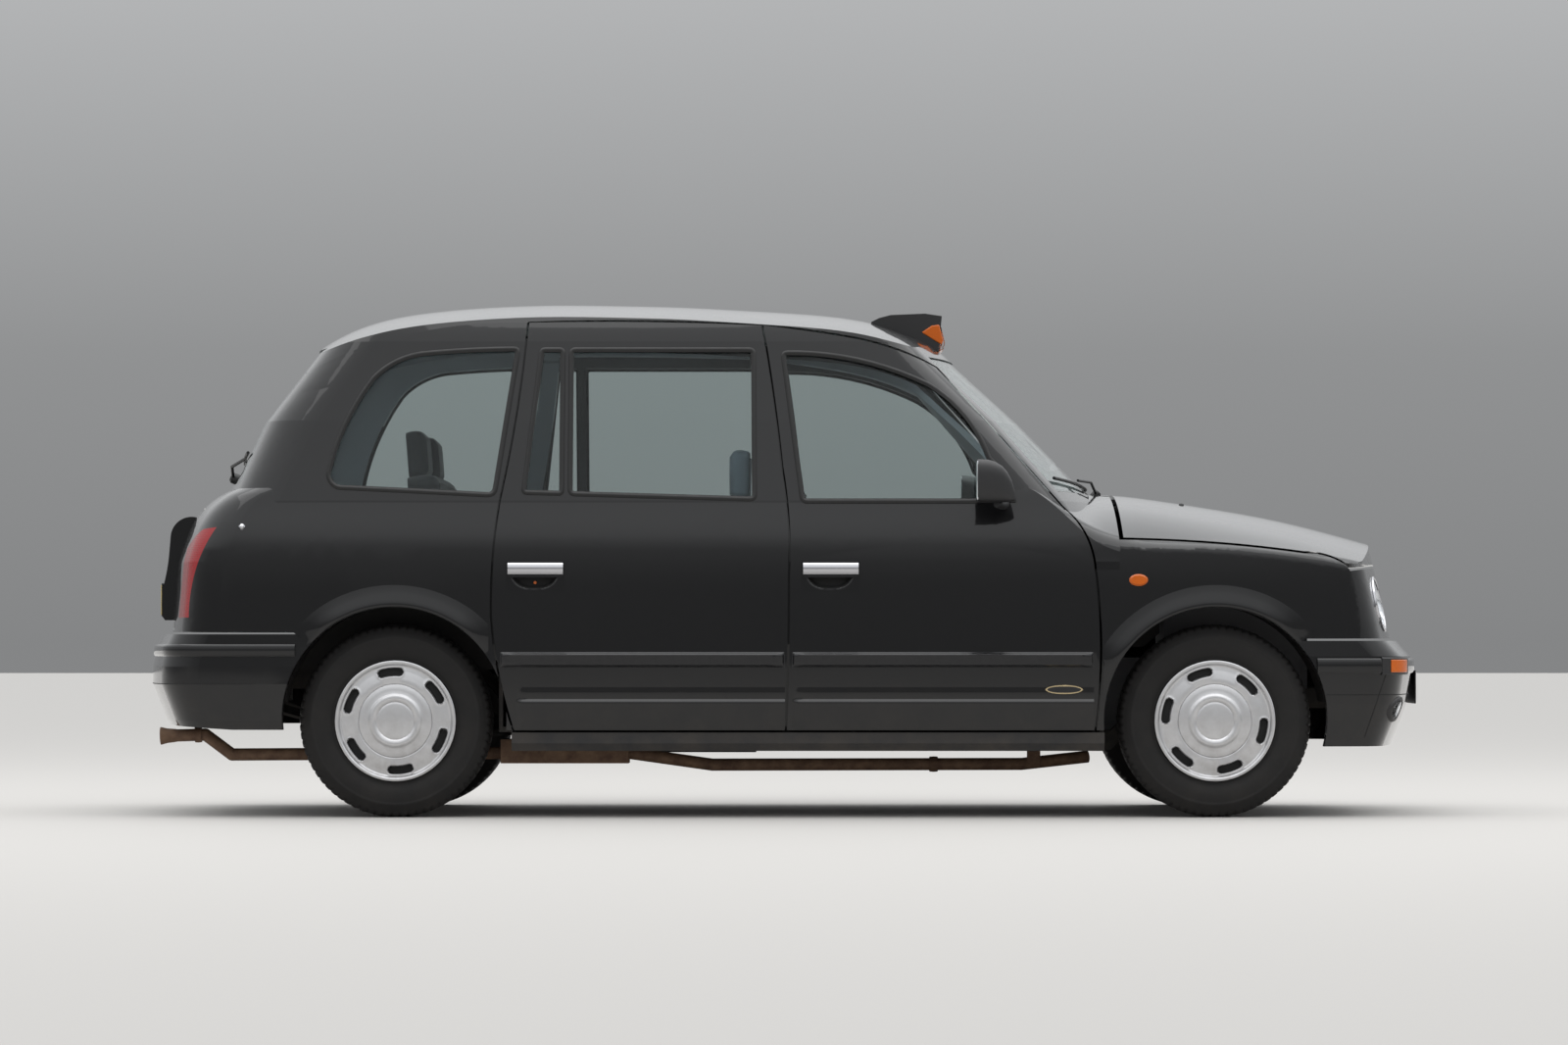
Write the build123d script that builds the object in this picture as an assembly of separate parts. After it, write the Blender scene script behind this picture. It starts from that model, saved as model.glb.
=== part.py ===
from build123d import *
from functools import cache
import math
import os

# A purpose-built taxi cab, in millimetres. +X is forward, +Z is up, the floor is z = 0,
# and the driver sits on the right-hand side, at negative Y.

# Overall sizes and running gear
LENGTH = 4576
NOSE_X = LENGTH / 2
TAIL_X = -LENGTH / 2
FRONT_AXLE_X = 1524
REAR_AXLE_X = -1362
TYRE_RADIUS = 340
AXLE_Z = TYRE_RADIUS
HALF_TRACK = 717
ARCH_RADIUS = 395
ARCH_Z = 345

# Thicknesses, counted inward from the outer skin
LIP = 12
GLASS_OUT = 6
DOOR_T = 60
PANEL_T = 60
BONNET_T = 24
FRAME_OUT = 84
FRAME_IN = 116
DOOR_INSET = 22

# Shut gaps
GAP = 8
HALF_GAP = GAP / 2

# Reach of the cutting tools: beyond both ends, beyond both sides, and in to behind a side panel
FAR = 2600
DEEP = 1100
SIDE_CUT = 560

# Plan curves of the body: large arcs that taper the sides and bow the tail
SIDE_REAR_X = -1300
SIDE_FRONT_X = 1100
REAR_TAPER_R = 6000
FRONT_TAPER_R = 5500
BOW_R = 2800
MIN_CORNER_R = 25
BODY_BOTTOM = 300

# Lower body in plan: height, half width, rear end, front end, rear corner radius,
# front corner radius, front bow radius
LOWER_SIDE_LEVELS = [
    (BODY_BOTTOM, 866, -2185, 2196, 170, 150, 2800),
    (430, 882, -2212, 2214, 170, 150, 2800),
    (610, 889, -2222, 2214, 170, 150, 2800),
    (900, 889, -2196, 2147, 170, 150, 2800),
]
LOWER_SHOULDER_LEVELS = [
    (900, 889, -2196, 2147, 170, 150, 2800),
    (952, 886, -2182, 2133, 170, 150, 2800),
    (1004, 878, -2163, 2119, 170, 150, 2800),
    (1056, 863, -2136, 2106, 170, 150, 2800),
    (1108, 847, -2093, 2092, 170, 150, 2800),
    (1160, 830, -2012, 2080, 170, 150, 2800),
]

# Glasshouse in plan, with the same columns
UPPER_SIDE_LEVELS = [
    (950, 872, -2100, 1280, 200, 130, 1900),
    (1115, 846, -2030, 1152, 200, 130, 1900),
    (1400, 785, -1893, 875, 200, 130, 1900),
    (1680, 718, -1674, 566, 190, 125, 1900),
]
UPPER_ROOF_LEVELS = [
    (1680, 718, -1674, 566, 190, 125, 1900),
    (1726, 700, -1630, 514, 180, 120, 1900),
    (1772, 672, -1586, 462, 170, 115, 1900),
    (1818, 625, -1542, 410, 160, 110, 1900),
    (1864, 545, -1498, 358, 150, 105, 1900),
]

# Roof line along the middle, at even stations: station, height of the crown
ROOF_LINE = [
    (-1988, 1392),
    (-1740, 1625),
    (-1492, 1773),
    (-1244, 1821),
    (-996, 1839),
    (-748, 1844),
    (-500, 1840),
    (-252, 1831),
    (-4, 1817),
    (244, 1794),
    (492, 1722),
    (740, 1553),
    (988, 1335),
]
ROOF_CROWN_R = 3000
ROOF_HALF_SPAN = 1000
ROOF_LOW_Z = 1250

# Bonnet and wing tops, at even stations: station, height of the crown, height of the bonnet's side edge
NOSE_LINE = [
    (830, 1152, 1165),
    (1040, 1152, 1052),
    (1250, 1149, 980),
    (1460, 1120, 969),
    (1670, 1086, 955),
    (1880, 1042, 930),
    (2090, 986, 888),
    (2300, 915, 828),
]
SHOULDER_W = 62
SHOULDER_H = 90

# Shut lines, seen from the side as (x, z) points: each is a chain of arcs, top to bottom
DOOR_BOTTOM = BODY_BOTTOM + GAP
B_LINE = [(-70, 1738), (-42, 1568), (0, 1237), (23, 1040), (24, 851), (22, 600), (13, DOOR_BOTTOM)]
C_LINE = [(-899, 1748), (-940, 1397), (-990, 1127), (-1016, 900), (-1021, 710), (-1001, 540),
          (-944, DOOR_BOTTOM)]
A_LINE = [(549, 1590), (768, 1345), (985, 1098), (1058, 1010), (1100, 870), (1114, 731), (1100, DOOR_BOTTOM)]

# Gutter line between doors and roof, rear to front
GUTTER_FRONT = [(-70, 1738), (80, 1723), (221, 1701), (399, 1656), (549, 1590)]
GUTTER_REAR = [(-899, 1748), (-480, 1754), (-70, 1738)]
GUTTER_TAIL = [(-1560, 1632), (-1245, 1722), (-899, 1748)]

# Windows, seen from the side
FRONT_WINDOW = [(3, 1639), (280, 1611), (515, 1527), (658, 1398), (728, 1265), (742, 1146), (680, 1113)]
FRONT_WINDOW_REAR = (72, 1113)
REAR_WINDOW = [(-745, 1650), (-101, 1650), (-97, 1120), (-745, 1139)]
QUARTER_LIGHT = [(-849, 1650), (-775, 1650), (-775, 1140), (-909, 1144)]
QUARTER_WINDOW = [(-1012, 1134), (-1280, 1148), (-1543, 1161), (-1583, 1176), (-1595, 1217),
                  (-1532, 1400), (-1442, 1549), (-1366, 1606), (-1248, 1638), (-1090, 1649), (-933, 1653)]

# Hinges of the side doors
HINGE_INSET = 14
HINGE_Y = 890 - HINGE_INSET
FRONT_HINGE_X = 1045
REAR_HINGE_X = -27
HINGE_HEIGHTS = (560, 890)
HINGE_H = 40
PIN_R = 5
EYE_R = 8
RUN_FIT = 0.1

# Side frame: its outline, how far its openings lie inside the doors, and the place of the hinge posts
SIDE_RING = [(1117, BODY_BOTTOM), (1117, 985), (1035, 1105), (800, 1375), (590, 1605), (440, 1700),
             (200, 1780), (-920, 1800), (-925, 1740), (-1005, 1135), (-1058, 900), (-1058, BODY_BOTTOM)]
APERTURE_INSET = 60
POST_Y = 890 - FRAME_OUT - 4

# Room for the foot of the front pillar in the front door: two corners as x, x, y, y, z, z
PILLAR_FOOT = (930, 1130, -790, -500, 950, 1130)

# Wheel housings
LINER_R = ARCH_RADIUS + 7
LINER_T = 8
HOUSING_Y = 560

# Bonnet and nose
BONNET_REAR_X = 1200
SCUTTLE_X = BONNET_REAR_X - 16
BONNET_HINGE = (1160, 200, 1126)
WING_FRONT = [(2001, 868), (2026, 790), (2034, 630)]
FRONT_BUMPER_TOP = 622
WINDSCREEN = (725, 615, 1150, 1630)
HEADLAMP = (560, 752, 92)
GRILLE = (290, 640, 862)
GRILLE_RIM, GRILLE_SLATS = 22, 9

# Tail: the roof's rear edge and the two curved sides of the lamps are seen from the side
TAIL_HALF_W = 600
ROOF_TAIL = [(-FAR, 1480), (-1700, 1572)]
LAMP_FRONT = [(-1990, 1022), (-2056, 900), (-2092, 704)]
LAMP_REAR = [(-2160, 704), (-2160, 860), (-2040, 1016)]
REAR_SCREEN = (640, 560, 1182, 1664)
REAR_BUMPER_TOP = 645
BOOT_HALF_W = 500
BOOT_LOW, BOOT_HIGH = 668, 1090
BOOT_HINGE = (-2100, 150, 1075)
BOOT_BULGE = [[(-2110, 1066), (-2182, 1051), (-2208, 1000)], [(-2214, 930), (-2223, 868), (-2238, 806)],
              (-2240, 712), (-2228, 696), (-2150, 696), (-2080, 1062)]
BULGE_HALF_W = 300

# Bumpers in plan, in the columns of the lower body
FRONT_BUMPER_LEVELS = [
    (250, 872, -2185, 2212, 170, 150, BOW_R),
    (334, 880, -2212, 2246, 170, 150, BOW_R),
    (400, 886, -2222, 2270, 170, 150, BOW_R),
    (520, 892, -2222, NOSE_X, 170, 150, BOW_R),
    (567, 892, -2222, 2282, 170, 150, BOW_R),
    (FRONT_BUMPER_TOP, 889, -2222, 2232, 170, 150, BOW_R),
]
REAR_BUMPER_LEVELS = [
    (300, 872, -2215, 2214, 170, 150, BOW_R),
    (341, 880, -2238, 2214, 170, 150, BOW_R),
    (470, 892, TAIL_X, 2214, 170, 150, BOW_R),
    (531, 892, TAIL_X, 2214, 170, 150, BOW_R),
    (600, 890, -2272, 2214, 170, 150, BOW_R),
    (REAR_BUMPER_TOP, 889, -2252, 2214, 170, 150, BOW_R),
]
BUMPER_T = 60

# Chassis
RAIL_Y, RAIL_W, RAIL_H = 435, 50, 70
FRONT_RAIL_Y = 345
RAIL_LOW, RAIL_HIGH, RAIL_FRONT = 230, 450, 380
REAR_RAIL_LINE = [(-2240, RAIL_HIGH), (-1100, RAIL_HIGH), (-920, RAIL_LOW), (1040, RAIL_LOW)]
FRONT_RAIL_LINE = [(1100, RAIL_LOW), (1180, RAIL_LOW), (1330, RAIL_FRONT), (2225, RAIL_FRONT)]
CROSSMEMBERS = [(-2080, RAIL_HIGH), (-1650, RAIL_HIGH), (-700, RAIL_LOW)]
OUTRIGGERS, OUTRIGGER_Y = (-60, 700), 700
SPRING_Y = 520
FLOOR_Z, FLOOR_T = BODY_BOTTOM, 18
BOOT_FLOOR_Z = RAIL_HIGH + RAIL_H
HEELBOARD_X = -1000
BULKHEAD_X = 1120

# Steering and hubs
KINGPIN_Y = HALF_TRACK - 60
SPINDLE_R = 15
BALL_R = 10
WISHBONE_DZ = 132
STEER_CENTRE = (700, -380, 1010)
STEER_DIR = (-0.8, 0, 0.6)
STEER_R = 185
SHAFT_R, SHAFT_L = 16, 150

# Half section of a tyre, and the sections of a wheel: radius, distance out from its middle
TYRE_HALF = [(205, 64), (228, 82), (270, 88), (318, 83), (334, 72), (TYRE_RADIUS, 52)]
RIM_SECTION = [(193, -78), (205, -78), (205, 64), (212, 80), (212, 86), (204, 90), (196, 84), (193, 60)]
COVER_SECTION = [(0, 60), (15.1, 60), (15.1, -20), (50, -20), (50, 40), (194, 40), (196, 84), (190, 78),
                 (160, 82), (132, 86), (130, 83), (127, 87), (94, 90), (88, 98), (70, 96), (66, 92), (0, 94)]

# Exhaust: points of the pipe's middle line, front to rear
EXHAUST_Y = -565
EXHAUST_R = 22
EXHAUST_PATH = [(1100, -330, 205), (860, -400, 180), (-250, -520, 180), (-560, EXHAUST_Y, 225),
                (-1960, EXHAUST_Y, 217), (-2055, EXHAUST_Y, 288), (-2190, EXHAUST_Y, 284)]

# Cabin
PARTITION_X, PARTITION_T = -90, 30
PARTITION_PANE = (560, 540, 1080, 1620)
HANDLE_L, HANDLE_Z = 190, 890
FRONT_HANDLE_X, REAR_HANDLE_X = 76, -960
MIRROR_BOX = (680, 800, -1018, -900, 1106, 1257)
SIGN_SIDE = [(322, 1700), (322, 1776), (350, 1790), (392, 1801), (516, 1806), (577, 1797), (560, 1620)]
SIGN_HALF_W = 240


def line_path(points):
    """Straight edges through (x, z) points."""
    return [Edge.make_line((a[0], 0, a[1]), (b[0], 0, b[1])) for a, b in zip(points, points[1:])]


def arc_path(points):
    """Arcs through each three (x, z) points in turn: ends on the even ones."""
    edges = []
    for i in range(0, len(points) - 2, 2):
        a, b, c = points[i : i + 3]
        edges.append(Edge.make_three_point_arc((a[0], 0, a[1]), (b[0], 0, b[1]), (c[0], 0, c[1])))
    return edges


def side_face(edges):
    """A flat face in the XZ plane inside a closed run of edges."""
    return Face(Wire(edges))


def polygon(points):
    """A flat face in the XZ plane with straight sides."""
    return side_face(line_path(list(points) + [points[0]]))


def across(face, y_from, y_to):
    """A face in the XZ plane, extruded between two Y values."""
    solid = Solid.extrude(face, Vector(0, y_to - y_from, 0))
    return solid.moved(Location((0, y_from, 0)))


def block(x0, x1, y0, y1, z0, z1):
    """A box between two corners."""
    return Solid.make_box(x1 - x0, y1 - y0, z1 - z0, Plane((x0, y0, z0)))


def rod(radius, start, end):
    """A round bar between two points."""
    a, b = Vector(*start), Vector(*end)
    return Solid.make_cylinder(radius, (b - a).length, Plane(origin=a, z_dir=b - a))


def tube(outer, inner, start, end):
    """A round tube between two points."""
    return rod(outer, start, end) - rod(inner, start, end)


def joined(*solids):
    """The union of solids."""
    first, *rest = solids
    return first.fuse(*rest).clean() if rest else first


def mirrored(shape):
    """The same shape on the left-hand side."""
    return shape.mirror(Plane.XZ)


def pair(shape):
    """A right-hand shape and its left-hand copy, as one compound."""
    return Compound([*shape.solids(), *mirrored(shape).solids()])


def solids_of(shape):
    """A compound of the solids in a shape or in a list of shapes."""
    if isinstance(shape, (list, tuple)):
        return Compound([s for item in shape for s in item.solids()])
    return Compound(shape.solids())


def meeting_point(c1, r1, c2, r2, towards):
    """Where two circles in plan cross, on the +Y side, nearest to the x given."""
    dx, dy = c2[0] - c1[0], c2[1] - c1[1]
    d = math.hypot(dx, dy)
    a = (r1 * r1 - r2 * r2 + d * d) / (2 * d)
    h = math.sqrt(max(r1 * r1 - a * a, 0))
    mx, my = c1[0] + a * dx / d, c1[1] + a * dy / d
    crossings = [(mx - h * dy / d, my + h * dx / d), (mx + h * dy / d, my - h * dx / d)]
    return min((p for p in crossings if p[1] > 0), key=lambda p: abs(p[0] - towards))


def on_ray(centre, radius, through):
    """The point of a circle on the ray from its centre through a point."""
    dx, dy = through[0] - centre[0], through[1] - centre[1]
    d = math.hypot(dx, dy)
    return (centre[0] + radius * dx / d, centre[1] + radius * dy / d)


def end_points(half, x_end, sign, side_x, taper_r, corner_r, bow_r, inset):
    """One end of a plan outline on the +Y side: bow, corner and taper as five points."""
    taper_c = (side_x, half - taper_r)
    bow_c = (x_end - sign * bow_r, 0)
    taper, bow = taper_r - inset, bow_r - inset
    r = max(corner_r - inset, MIN_CORNER_R)
    corner = meeting_point(taper_c, taper - r, bow_c, bow - r, x_end)
    on_bow = on_ray(bow_c, bow, corner)
    on_taper = on_ray(taper_c, taper, corner)
    middle = ((on_bow[0] + on_taper[0]) / 2, (on_bow[1] + on_taper[1]) / 2)
    side_point = (side_x, half - inset)
    halfway = ((on_taper[0] + side_x) / 2, (on_taper[1] + half - inset) / 2)
    return on_bow, on_ray(corner, r, middle), on_taper, on_ray(taper_c, taper, halfway), side_point


def plan_outline(z, half, x_rear, x_front, r_rear, r_front, front_bow, inset=0.0):
    """A closed outline of the body in plan at one height, made of lines and arcs."""
    rear = end_points(half, x_rear, -1, SIDE_REAR_X, REAR_TAPER_R, r_rear, BOW_R, inset)
    side_front = min(SIDE_FRONT_X, x_front - 500)
    front = end_points(half, x_front, 1, side_front, FRONT_TAPER_R, r_front, front_bow, inset)

    def at(p, side=1):
        return (p[0], side * p[1], z)

    edges = [Edge.make_three_point_arc(at(rear[0], -1), (x_rear + inset, 0, z), at(rear[0]))]
    edges.append(Edge.make_three_point_arc(at(rear[0]), at(rear[1]), at(rear[2])))
    edges.append(Edge.make_three_point_arc(at(rear[2]), at(rear[3]), at(rear[4])))
    edges.append(Edge.make_line(at(rear[4]), at(front[4])))
    edges.append(Edge.make_three_point_arc(at(front[4]), at(front[3]), at(front[2])))
    edges.append(Edge.make_three_point_arc(at(front[2]), at(front[1]), at(front[0])))
    edges.append(Edge.make_three_point_arc(at(front[0]), (x_front - inset, 0, z), at(front[0], -1)))
    edges.append(Edge.make_three_point_arc(at(front[0], -1), at(front[1], -1), at(front[2], -1)))
    edges.append(Edge.make_three_point_arc(at(front[2], -1), at(front[3], -1), at(front[4], -1)))
    edges.append(Edge.make_line(at(front[4], -1), at(rear[4], -1)))
    edges.append(Edge.make_three_point_arc(at(rear[4], -1), at(rear[3], -1), at(rear[2], -1)))
    edges.append(Edge.make_three_point_arc(at(rear[2], -1), at(rear[1], -1), at(rear[0], -1)))
    return Wire(edges)


def roof_section(x, crown, inset):
    """A section across the roof at one station: flat below, one arc above."""
    drop = ROOF_HALF_SPAN**2 / (2 * ROOF_CROWN_R)
    top, low, s = crown - inset, 1000, ROOF_HALF_SPAN
    return Wire(
        [
            Edge.make_line((x, -s, low), (x, s, low)),
            Edge.make_line((x, s, low), (x, s, top - drop)),
            Edge.make_three_point_arc((x, s, top - drop), (x, 0, top), (x, -s, top - drop)),
            Edge.make_line((x, -s, top - drop), (x, -s, low)),
        ]
    )


def nose_section(x, crown, edge, inset):
    """A section across bonnet and wings at one station: crown arc, shoulder arcs, sides."""
    side = 890 + 2 - max(x - SIDE_FRONT_X, 0) ** 2 / (2 * FRONT_TAPER_R) - inset
    ye, ze, zc = side - SHOULDER_W, edge - inset, crown - inset
    zs = ze - SHOULDER_H
    bulge = 0.29
    mid_y = ye + SHOULDER_W * (0.5 + bulge * 0.71)
    mid_z = zs + SHOULDER_H * (0.5 + bulge * 0.5)
    low = 100
    return Wire(
        [
            Edge.make_line((x, -side, low), (x, side, low)),
            Edge.make_line((x, side, low), (x, side, zs)),
            Edge.make_three_point_arc((x, side, zs), (x, mid_y, mid_z), (x, ye, ze)),
            Edge.make_three_point_arc((x, ye, ze), (x, 0, zc), (x, -ye, ze)),
            Edge.make_three_point_arc((x, -ye, ze), (x, -mid_y, mid_z), (x, -side, zs)),
            Edge.make_line((x, -side, zs), (x, -side, low)),
        ]
    )


def stacked(side_levels, top_levels, inset):
    """Plan outlines joined by straight walls below and by one smooth surface above."""
    walls = Solid.make_loft([plan_outline(*row, inset=inset) for row in side_levels], ruled=True)
    top = Solid.make_loft([plan_outline(*row, inset=inset) for row in top_levels])
    return walls.fuse(top)


def lower_body(inset):
    """The closed form of the lower body, tail to nose, set in from the skin."""
    tub = stacked(LOWER_SIDE_LEVELS, LOWER_SHOULDER_LEVELS, inset)
    nose = Solid.make_loft([nose_section(*row, inset=inset) for row in NOSE_LINE])
    behind = block(-FAR, NOSE_LINE[0][0], -DEEP, DEEP, 0, 2000)
    return (tub & nose).fuse(tub & behind)


def glasshouse(inset):
    """The closed form of the glasshouse and roof, set in from the skin."""
    sides = stacked(UPPER_SIDE_LEVELS, UPPER_ROOF_LEVELS, inset)
    roof = Solid.make_loft([roof_section(*row, inset=inset) for row in ROOF_LINE])
    low = block(-FAR, FAR, -DEEP, DEEP, 0, ROOF_LOW_Z)
    return sides & roof.fuse(low)


@cache
def body_form(inset):
    """The whole body as one closed form, set in from the skin."""
    return lower_body(inset).fuse(glasshouse(inset))


def shell(face, outer, inner, y_from=-DEEP, y_to=-SIDE_CUT):
    """The part of the body's wall between two insets, inside a side-view outline."""
    return (body_form(outer) & across(face, y_from, y_to)) - body_form(inner)


def shrunk(face, distance):
    """A side-view outline, offset inward, or outward when the distance is negative."""
    return offset(face, -distance, kind=Kind.INTERSECTION).faces()[0]


def shifted(points, dx, dz=0):
    """Points moved along X and Z."""
    return [(x + dx, z + dz) for x, z in points]


def chain(*runs):
    """A face inside a closed chain: arcs along each list of points, lines to and from single points."""
    runs = [run if isinstance(run, list) else [run] for run in runs]
    edges = []
    for run, following in zip(runs, runs[1:] + runs[:1]):
        edges += arc_path(run) if len(run) > 2 else line_path(run)
        if math.dist(run[-1], following[0]) > 0.01:
            edges += line_path([run[-1], following[0]])
    return side_face(edges)


def door_outline(front_line, rear_line, gutter, spread=0):
    """A door between two shut lines, under the gutter and above the sill, or an opening spread around it."""
    front = shifted(front_line, spread - HALF_GAP)
    rear = shifted(rear_line[::-1], HALF_GAP - spread)
    top = shifted(gutter, 0, spread - HALF_GAP)
    top[0], top[-1] = (rear[-1][0], top[0][1]), (front[0][0], top[-1][1])
    if not spread:
        top[0], top[-1] = rear[-1], front[0]
        return chain(top, front, rear)
    low = DOOR_BOTTOM - spread
    return chain(top, front, (front[-1][0], low), (rear[0][0], low), rear)


@cache
def door_openings():
    """The side-view outlines of the front and rear doors."""
    return door_outline(A_LINE, B_LINE, GUTTER_FRONT), door_outline(B_LINE, C_LINE, GUTTER_REAR)


def door_windows():
    """The window outlines of the front door, then those of the rear door."""
    return [chain(FRONT_WINDOW, FRONT_WINDOW_REAR)], [polygon(REAR_WINDOW), polygon(QUARTER_LIGHT)]


def side_door(outline, windows, hinge_x, handle_x):
    """A right-hand door panel, hollow at its windows, with hinge pockets, pins and a handle."""
    door = shell(outline, 0, LIP).fuse(shell(shrunk(outline, DOOR_INSET), LIP, DOOR_T))
    cuts = [across(window, -DEEP, -SIDE_CUT) for window in windows]
    pins = []
    for z in HINGE_HEIGHTS:
        half = HINGE_H / 2 + 3
        cuts.append(block(hinge_x - 14, hinge_x + 90, -HINGE_Y - EYE_R - 1, -SIDE_CUT, z - half, z + half))
        pins.append(rod(PIN_R, (hinge_x, -HINGE_Y, z - half - 8), (hinge_x, -HINGE_Y, z + half + 8)))
    x0, x1, z0, z1 = handle_x, handle_x + HANDLE_L, HANDLE_Z - 86, HANDLE_Z
    cuts.append(block(x0 + 8, x1 - 8, -DEEP, -890 + 30, z0, z1 - 8))
    bar = block(x0, x1, -895, -882, z1 - 46, z1)
    ends = [block(x, x + 16, -884, -858, z1 - 40, z1 - 6) for x in (x0 + 2, x1 - 18)]
    return door.cut(*cuts).fuse(*pins, bar, *ends)


def side_glass(windows):
    """Right-hand panes, flush with the inner side of the skin."""
    return solids_of([shell(window, GLASS_OUT, LIP) for window in windows])


def hinge_bracket(hinge_x, foot):
    """A body-side hinge: an eye on the pin and an arm in to the post."""
    parts = []
    for z in HINGE_HEIGHTS:
        low, high = z - HINGE_H / 2, z + HINGE_H / 2
        eye = rod(EYE_R, (hinge_x, -HINGE_Y, low), (hinge_x, -HINGE_Y, high))
        arm = block(hinge_x - 5, hinge_x + 5, -HINGE_Y, -POST_Y, low, high)
        arm = arm.fuse(eye, block(hinge_x - 5, hinge_x + foot, -POST_Y - 8, -POST_Y + 4, low, high))
        parts.append(arm - rod(PIN_R + RUN_FIT, (hinge_x, -HINGE_Y, low - 1), (hinge_x, -HINGE_Y, high + 1)))
    return parts


def arch_cutter(axle_x, radius, y_from=-DEEP, y_to=-SIDE_CUT):
    """A cylinder over one wheel, across the right-hand side."""
    return rod(radius, (axle_x, y_from, ARCH_Z), (axle_x, y_to, ARCH_Z))


def side_frame():
    """The right-hand inner frame: posts, cant rail and the strips that join it to the outer panels."""
    ring = polygon(SIDE_RING)
    openings = [across(shrunk(outline, APERTURE_INSET), -DEEP, -SIDE_CUT) for outline in door_openings()]
    frame = shell(ring, FRAME_OUT, FRAME_IN).cut(*openings)
    clear = [
        across(door_outline(A_LINE, B_LINE, GUTTER_FRONT, GAP), -DEEP, -SIDE_CUT),
        across(door_outline(B_LINE, C_LINE, GUTTER_REAR, GAP), -DEEP, -SIDE_CUT),
    ]
    strip = shell(ring, DOOR_T, FRAME_OUT).cut(*clear)
    frame = frame.fuse(strip, *hinge_bracket(FRONT_HINGE_X, 32), *hinge_bracket(REAR_HINGE_X, 5))
    return frame - arch_cutter(REAR_AXLE_X, LINER_R + LINER_T + 1)


def roof_outline():
    """The roof above the gutters, from the header over the windscreen to the tail."""
    over_doors = [shifted(line, 0, HALF_GAP) for line in (GUTTER_REAR, GUTTER_FRONT)]
    return chain(GUTTER_TAIL, *over_doors, (553, 1590), (790, 1590), (790, 1950), (-FAR, 1950), *ROOF_TAIL)


def quarter_panel():
    """The right-hand rear quarter, with its window and half of the wheel arch."""
    front = shifted(C_LINE, -HALF_GAP)
    low = REAR_BUMPER_TOP + GAP
    outline = chain(*ROOF_TAIL, (-1560, 1660), (-1245, 1760), (front[0][0], 1780), front,
                    (-1500, DOOR_BOTTOM), (-1600, low), (-FAR, low))
    panel = shell(outline, 0, PANEL_T, y_to=-TAIL_HALF_W)
    return panel.cut(
        across(roof_outline(), -DEEP, DEEP),
        arch_cutter(REAR_AXLE_X, ARCH_RADIUS),
        across(quarter_window(), -DEEP, -SIDE_CUT),
        rear_screen_cutter(),
        tail_lamp_cutter(),
    )


def quarter_window():
    """The outline of the rear quarter window."""
    return chain(QUARTER_WINDOW)


def seen_along_x(x_from, x_to, half_low, half_high, low, high):
    """A wedge with sloping sides, extruded along X."""
    corners = [(-half_low, low), (half_low, low), (half_high, high), (-half_high, high)]
    edges = [Edge.make_line((x_from, *a), (x_from, *b)) for a, b in zip(corners, corners[1:] + corners[:1])]
    return Solid.extrude(Face(Wire(edges)), Vector(x_to - x_from, 0, 0))


def rear_screen_cutter():
    """The wedge that the rear screen fills."""
    return seen_along_x(-FAR, -1400, *REAR_SCREEN)


def windscreen_cutter():
    """The wedge that the windscreen fills."""
    return seen_along_x(380, 1280, *WINDSCREEN)


def tail_lamp_cutter():
    """The outline of the right-hand tail lamp, cut across the tail's corner."""
    return across(chain(LAMP_FRONT, LAMP_REAR), -DEEP, -TAIL_HALF_W - 20)


def roof_panel():
    """The roof skin."""
    panel = shell(roof_outline(), 0, PANEL_T, y_to=DEEP)
    return panel.cut(windscreen_cutter(), rear_screen_cutter())


def windscreen_frame():
    """The front pillars and the scuttle, in one piece, with the pins of the bonnet's hinges."""
    back = shifted(A_LINE[:5], HALF_GAP)
    outline = chain(back, (SCUTTLE_X, 870), (SCUTTLE_X, 1300), (790, 1590))
    hinge_x, hinge_y, hinge_z = BONNET_HINGE
    cuts, pins = [windscreen_cutter()], []
    for y in (-hinge_y, hinge_y):
        cuts.append(block(hinge_x - 14, BONNET_REAR_X, y - 14, y + 14, hinge_z - 14, hinge_z + 100))
        pins.append(rod(PIN_R, (hinge_x, y - 20, hinge_z), (hinge_x, y + 20, hinge_z)))
    return shell(outline, 0, PANEL_T, y_to=DEEP).cut(*cuts).fuse(*pins)


def bonnet_side(dz):
    """The shut line between bonnet and wing, rear to front, moved up or down."""
    return shifted([(BONNET_REAR_X, 981), (1553, 965), (1841, 934), (1935, 919), (1985, 893)], 0, dz)


def bonnet():
    """The bonnet skin, with its hinge arms."""
    outline = chain(bonnet_side(HALF_GAP), (2140, 893), (FAR, 960), (FAR, 1400), (BONNET_REAR_X, 1400))
    hinge_x, hinge_y, hinge_z = BONNET_HINGE
    arms, holes = [], []
    for y in (-hinge_y, hinge_y):
        arms.append(block(hinge_x, BONNET_REAR_X + 60, y - 8, y + 8, hinge_z - 8, hinge_z + 8))
        arms.append(rod(EYE_R, (hinge_x, y - 8, hinge_z), (hinge_x, y + 8, hinge_z)))
        holes.append(rod(PIN_R + RUN_FIT, (hinge_x, y - 20, hinge_z), (hinge_x, y + 20, hinge_z)))
    return shell(outline, 0, BONNET_T, y_to=DEEP).fuse(*arms).cut(*holes)


def front_wing():
    """The right-hand front wing, from the door to the headlamp panel."""
    back = shifted(A_LINE[4:], HALF_GAP)
    outline = chain(bonnet_side(-HALF_GAP), WING_FRONT, (1800, FRONT_BUMPER_TOP + GAP), (1700, DOOR_BOTTOM),
                    back[::-1], (SCUTTLE_X, 870), (SCUTTLE_X, 981 - HALF_GAP))
    return shell(outline, 0, PANEL_T) - arch_cutter(FRONT_AXLE_X, ARCH_RADIUS)


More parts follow.
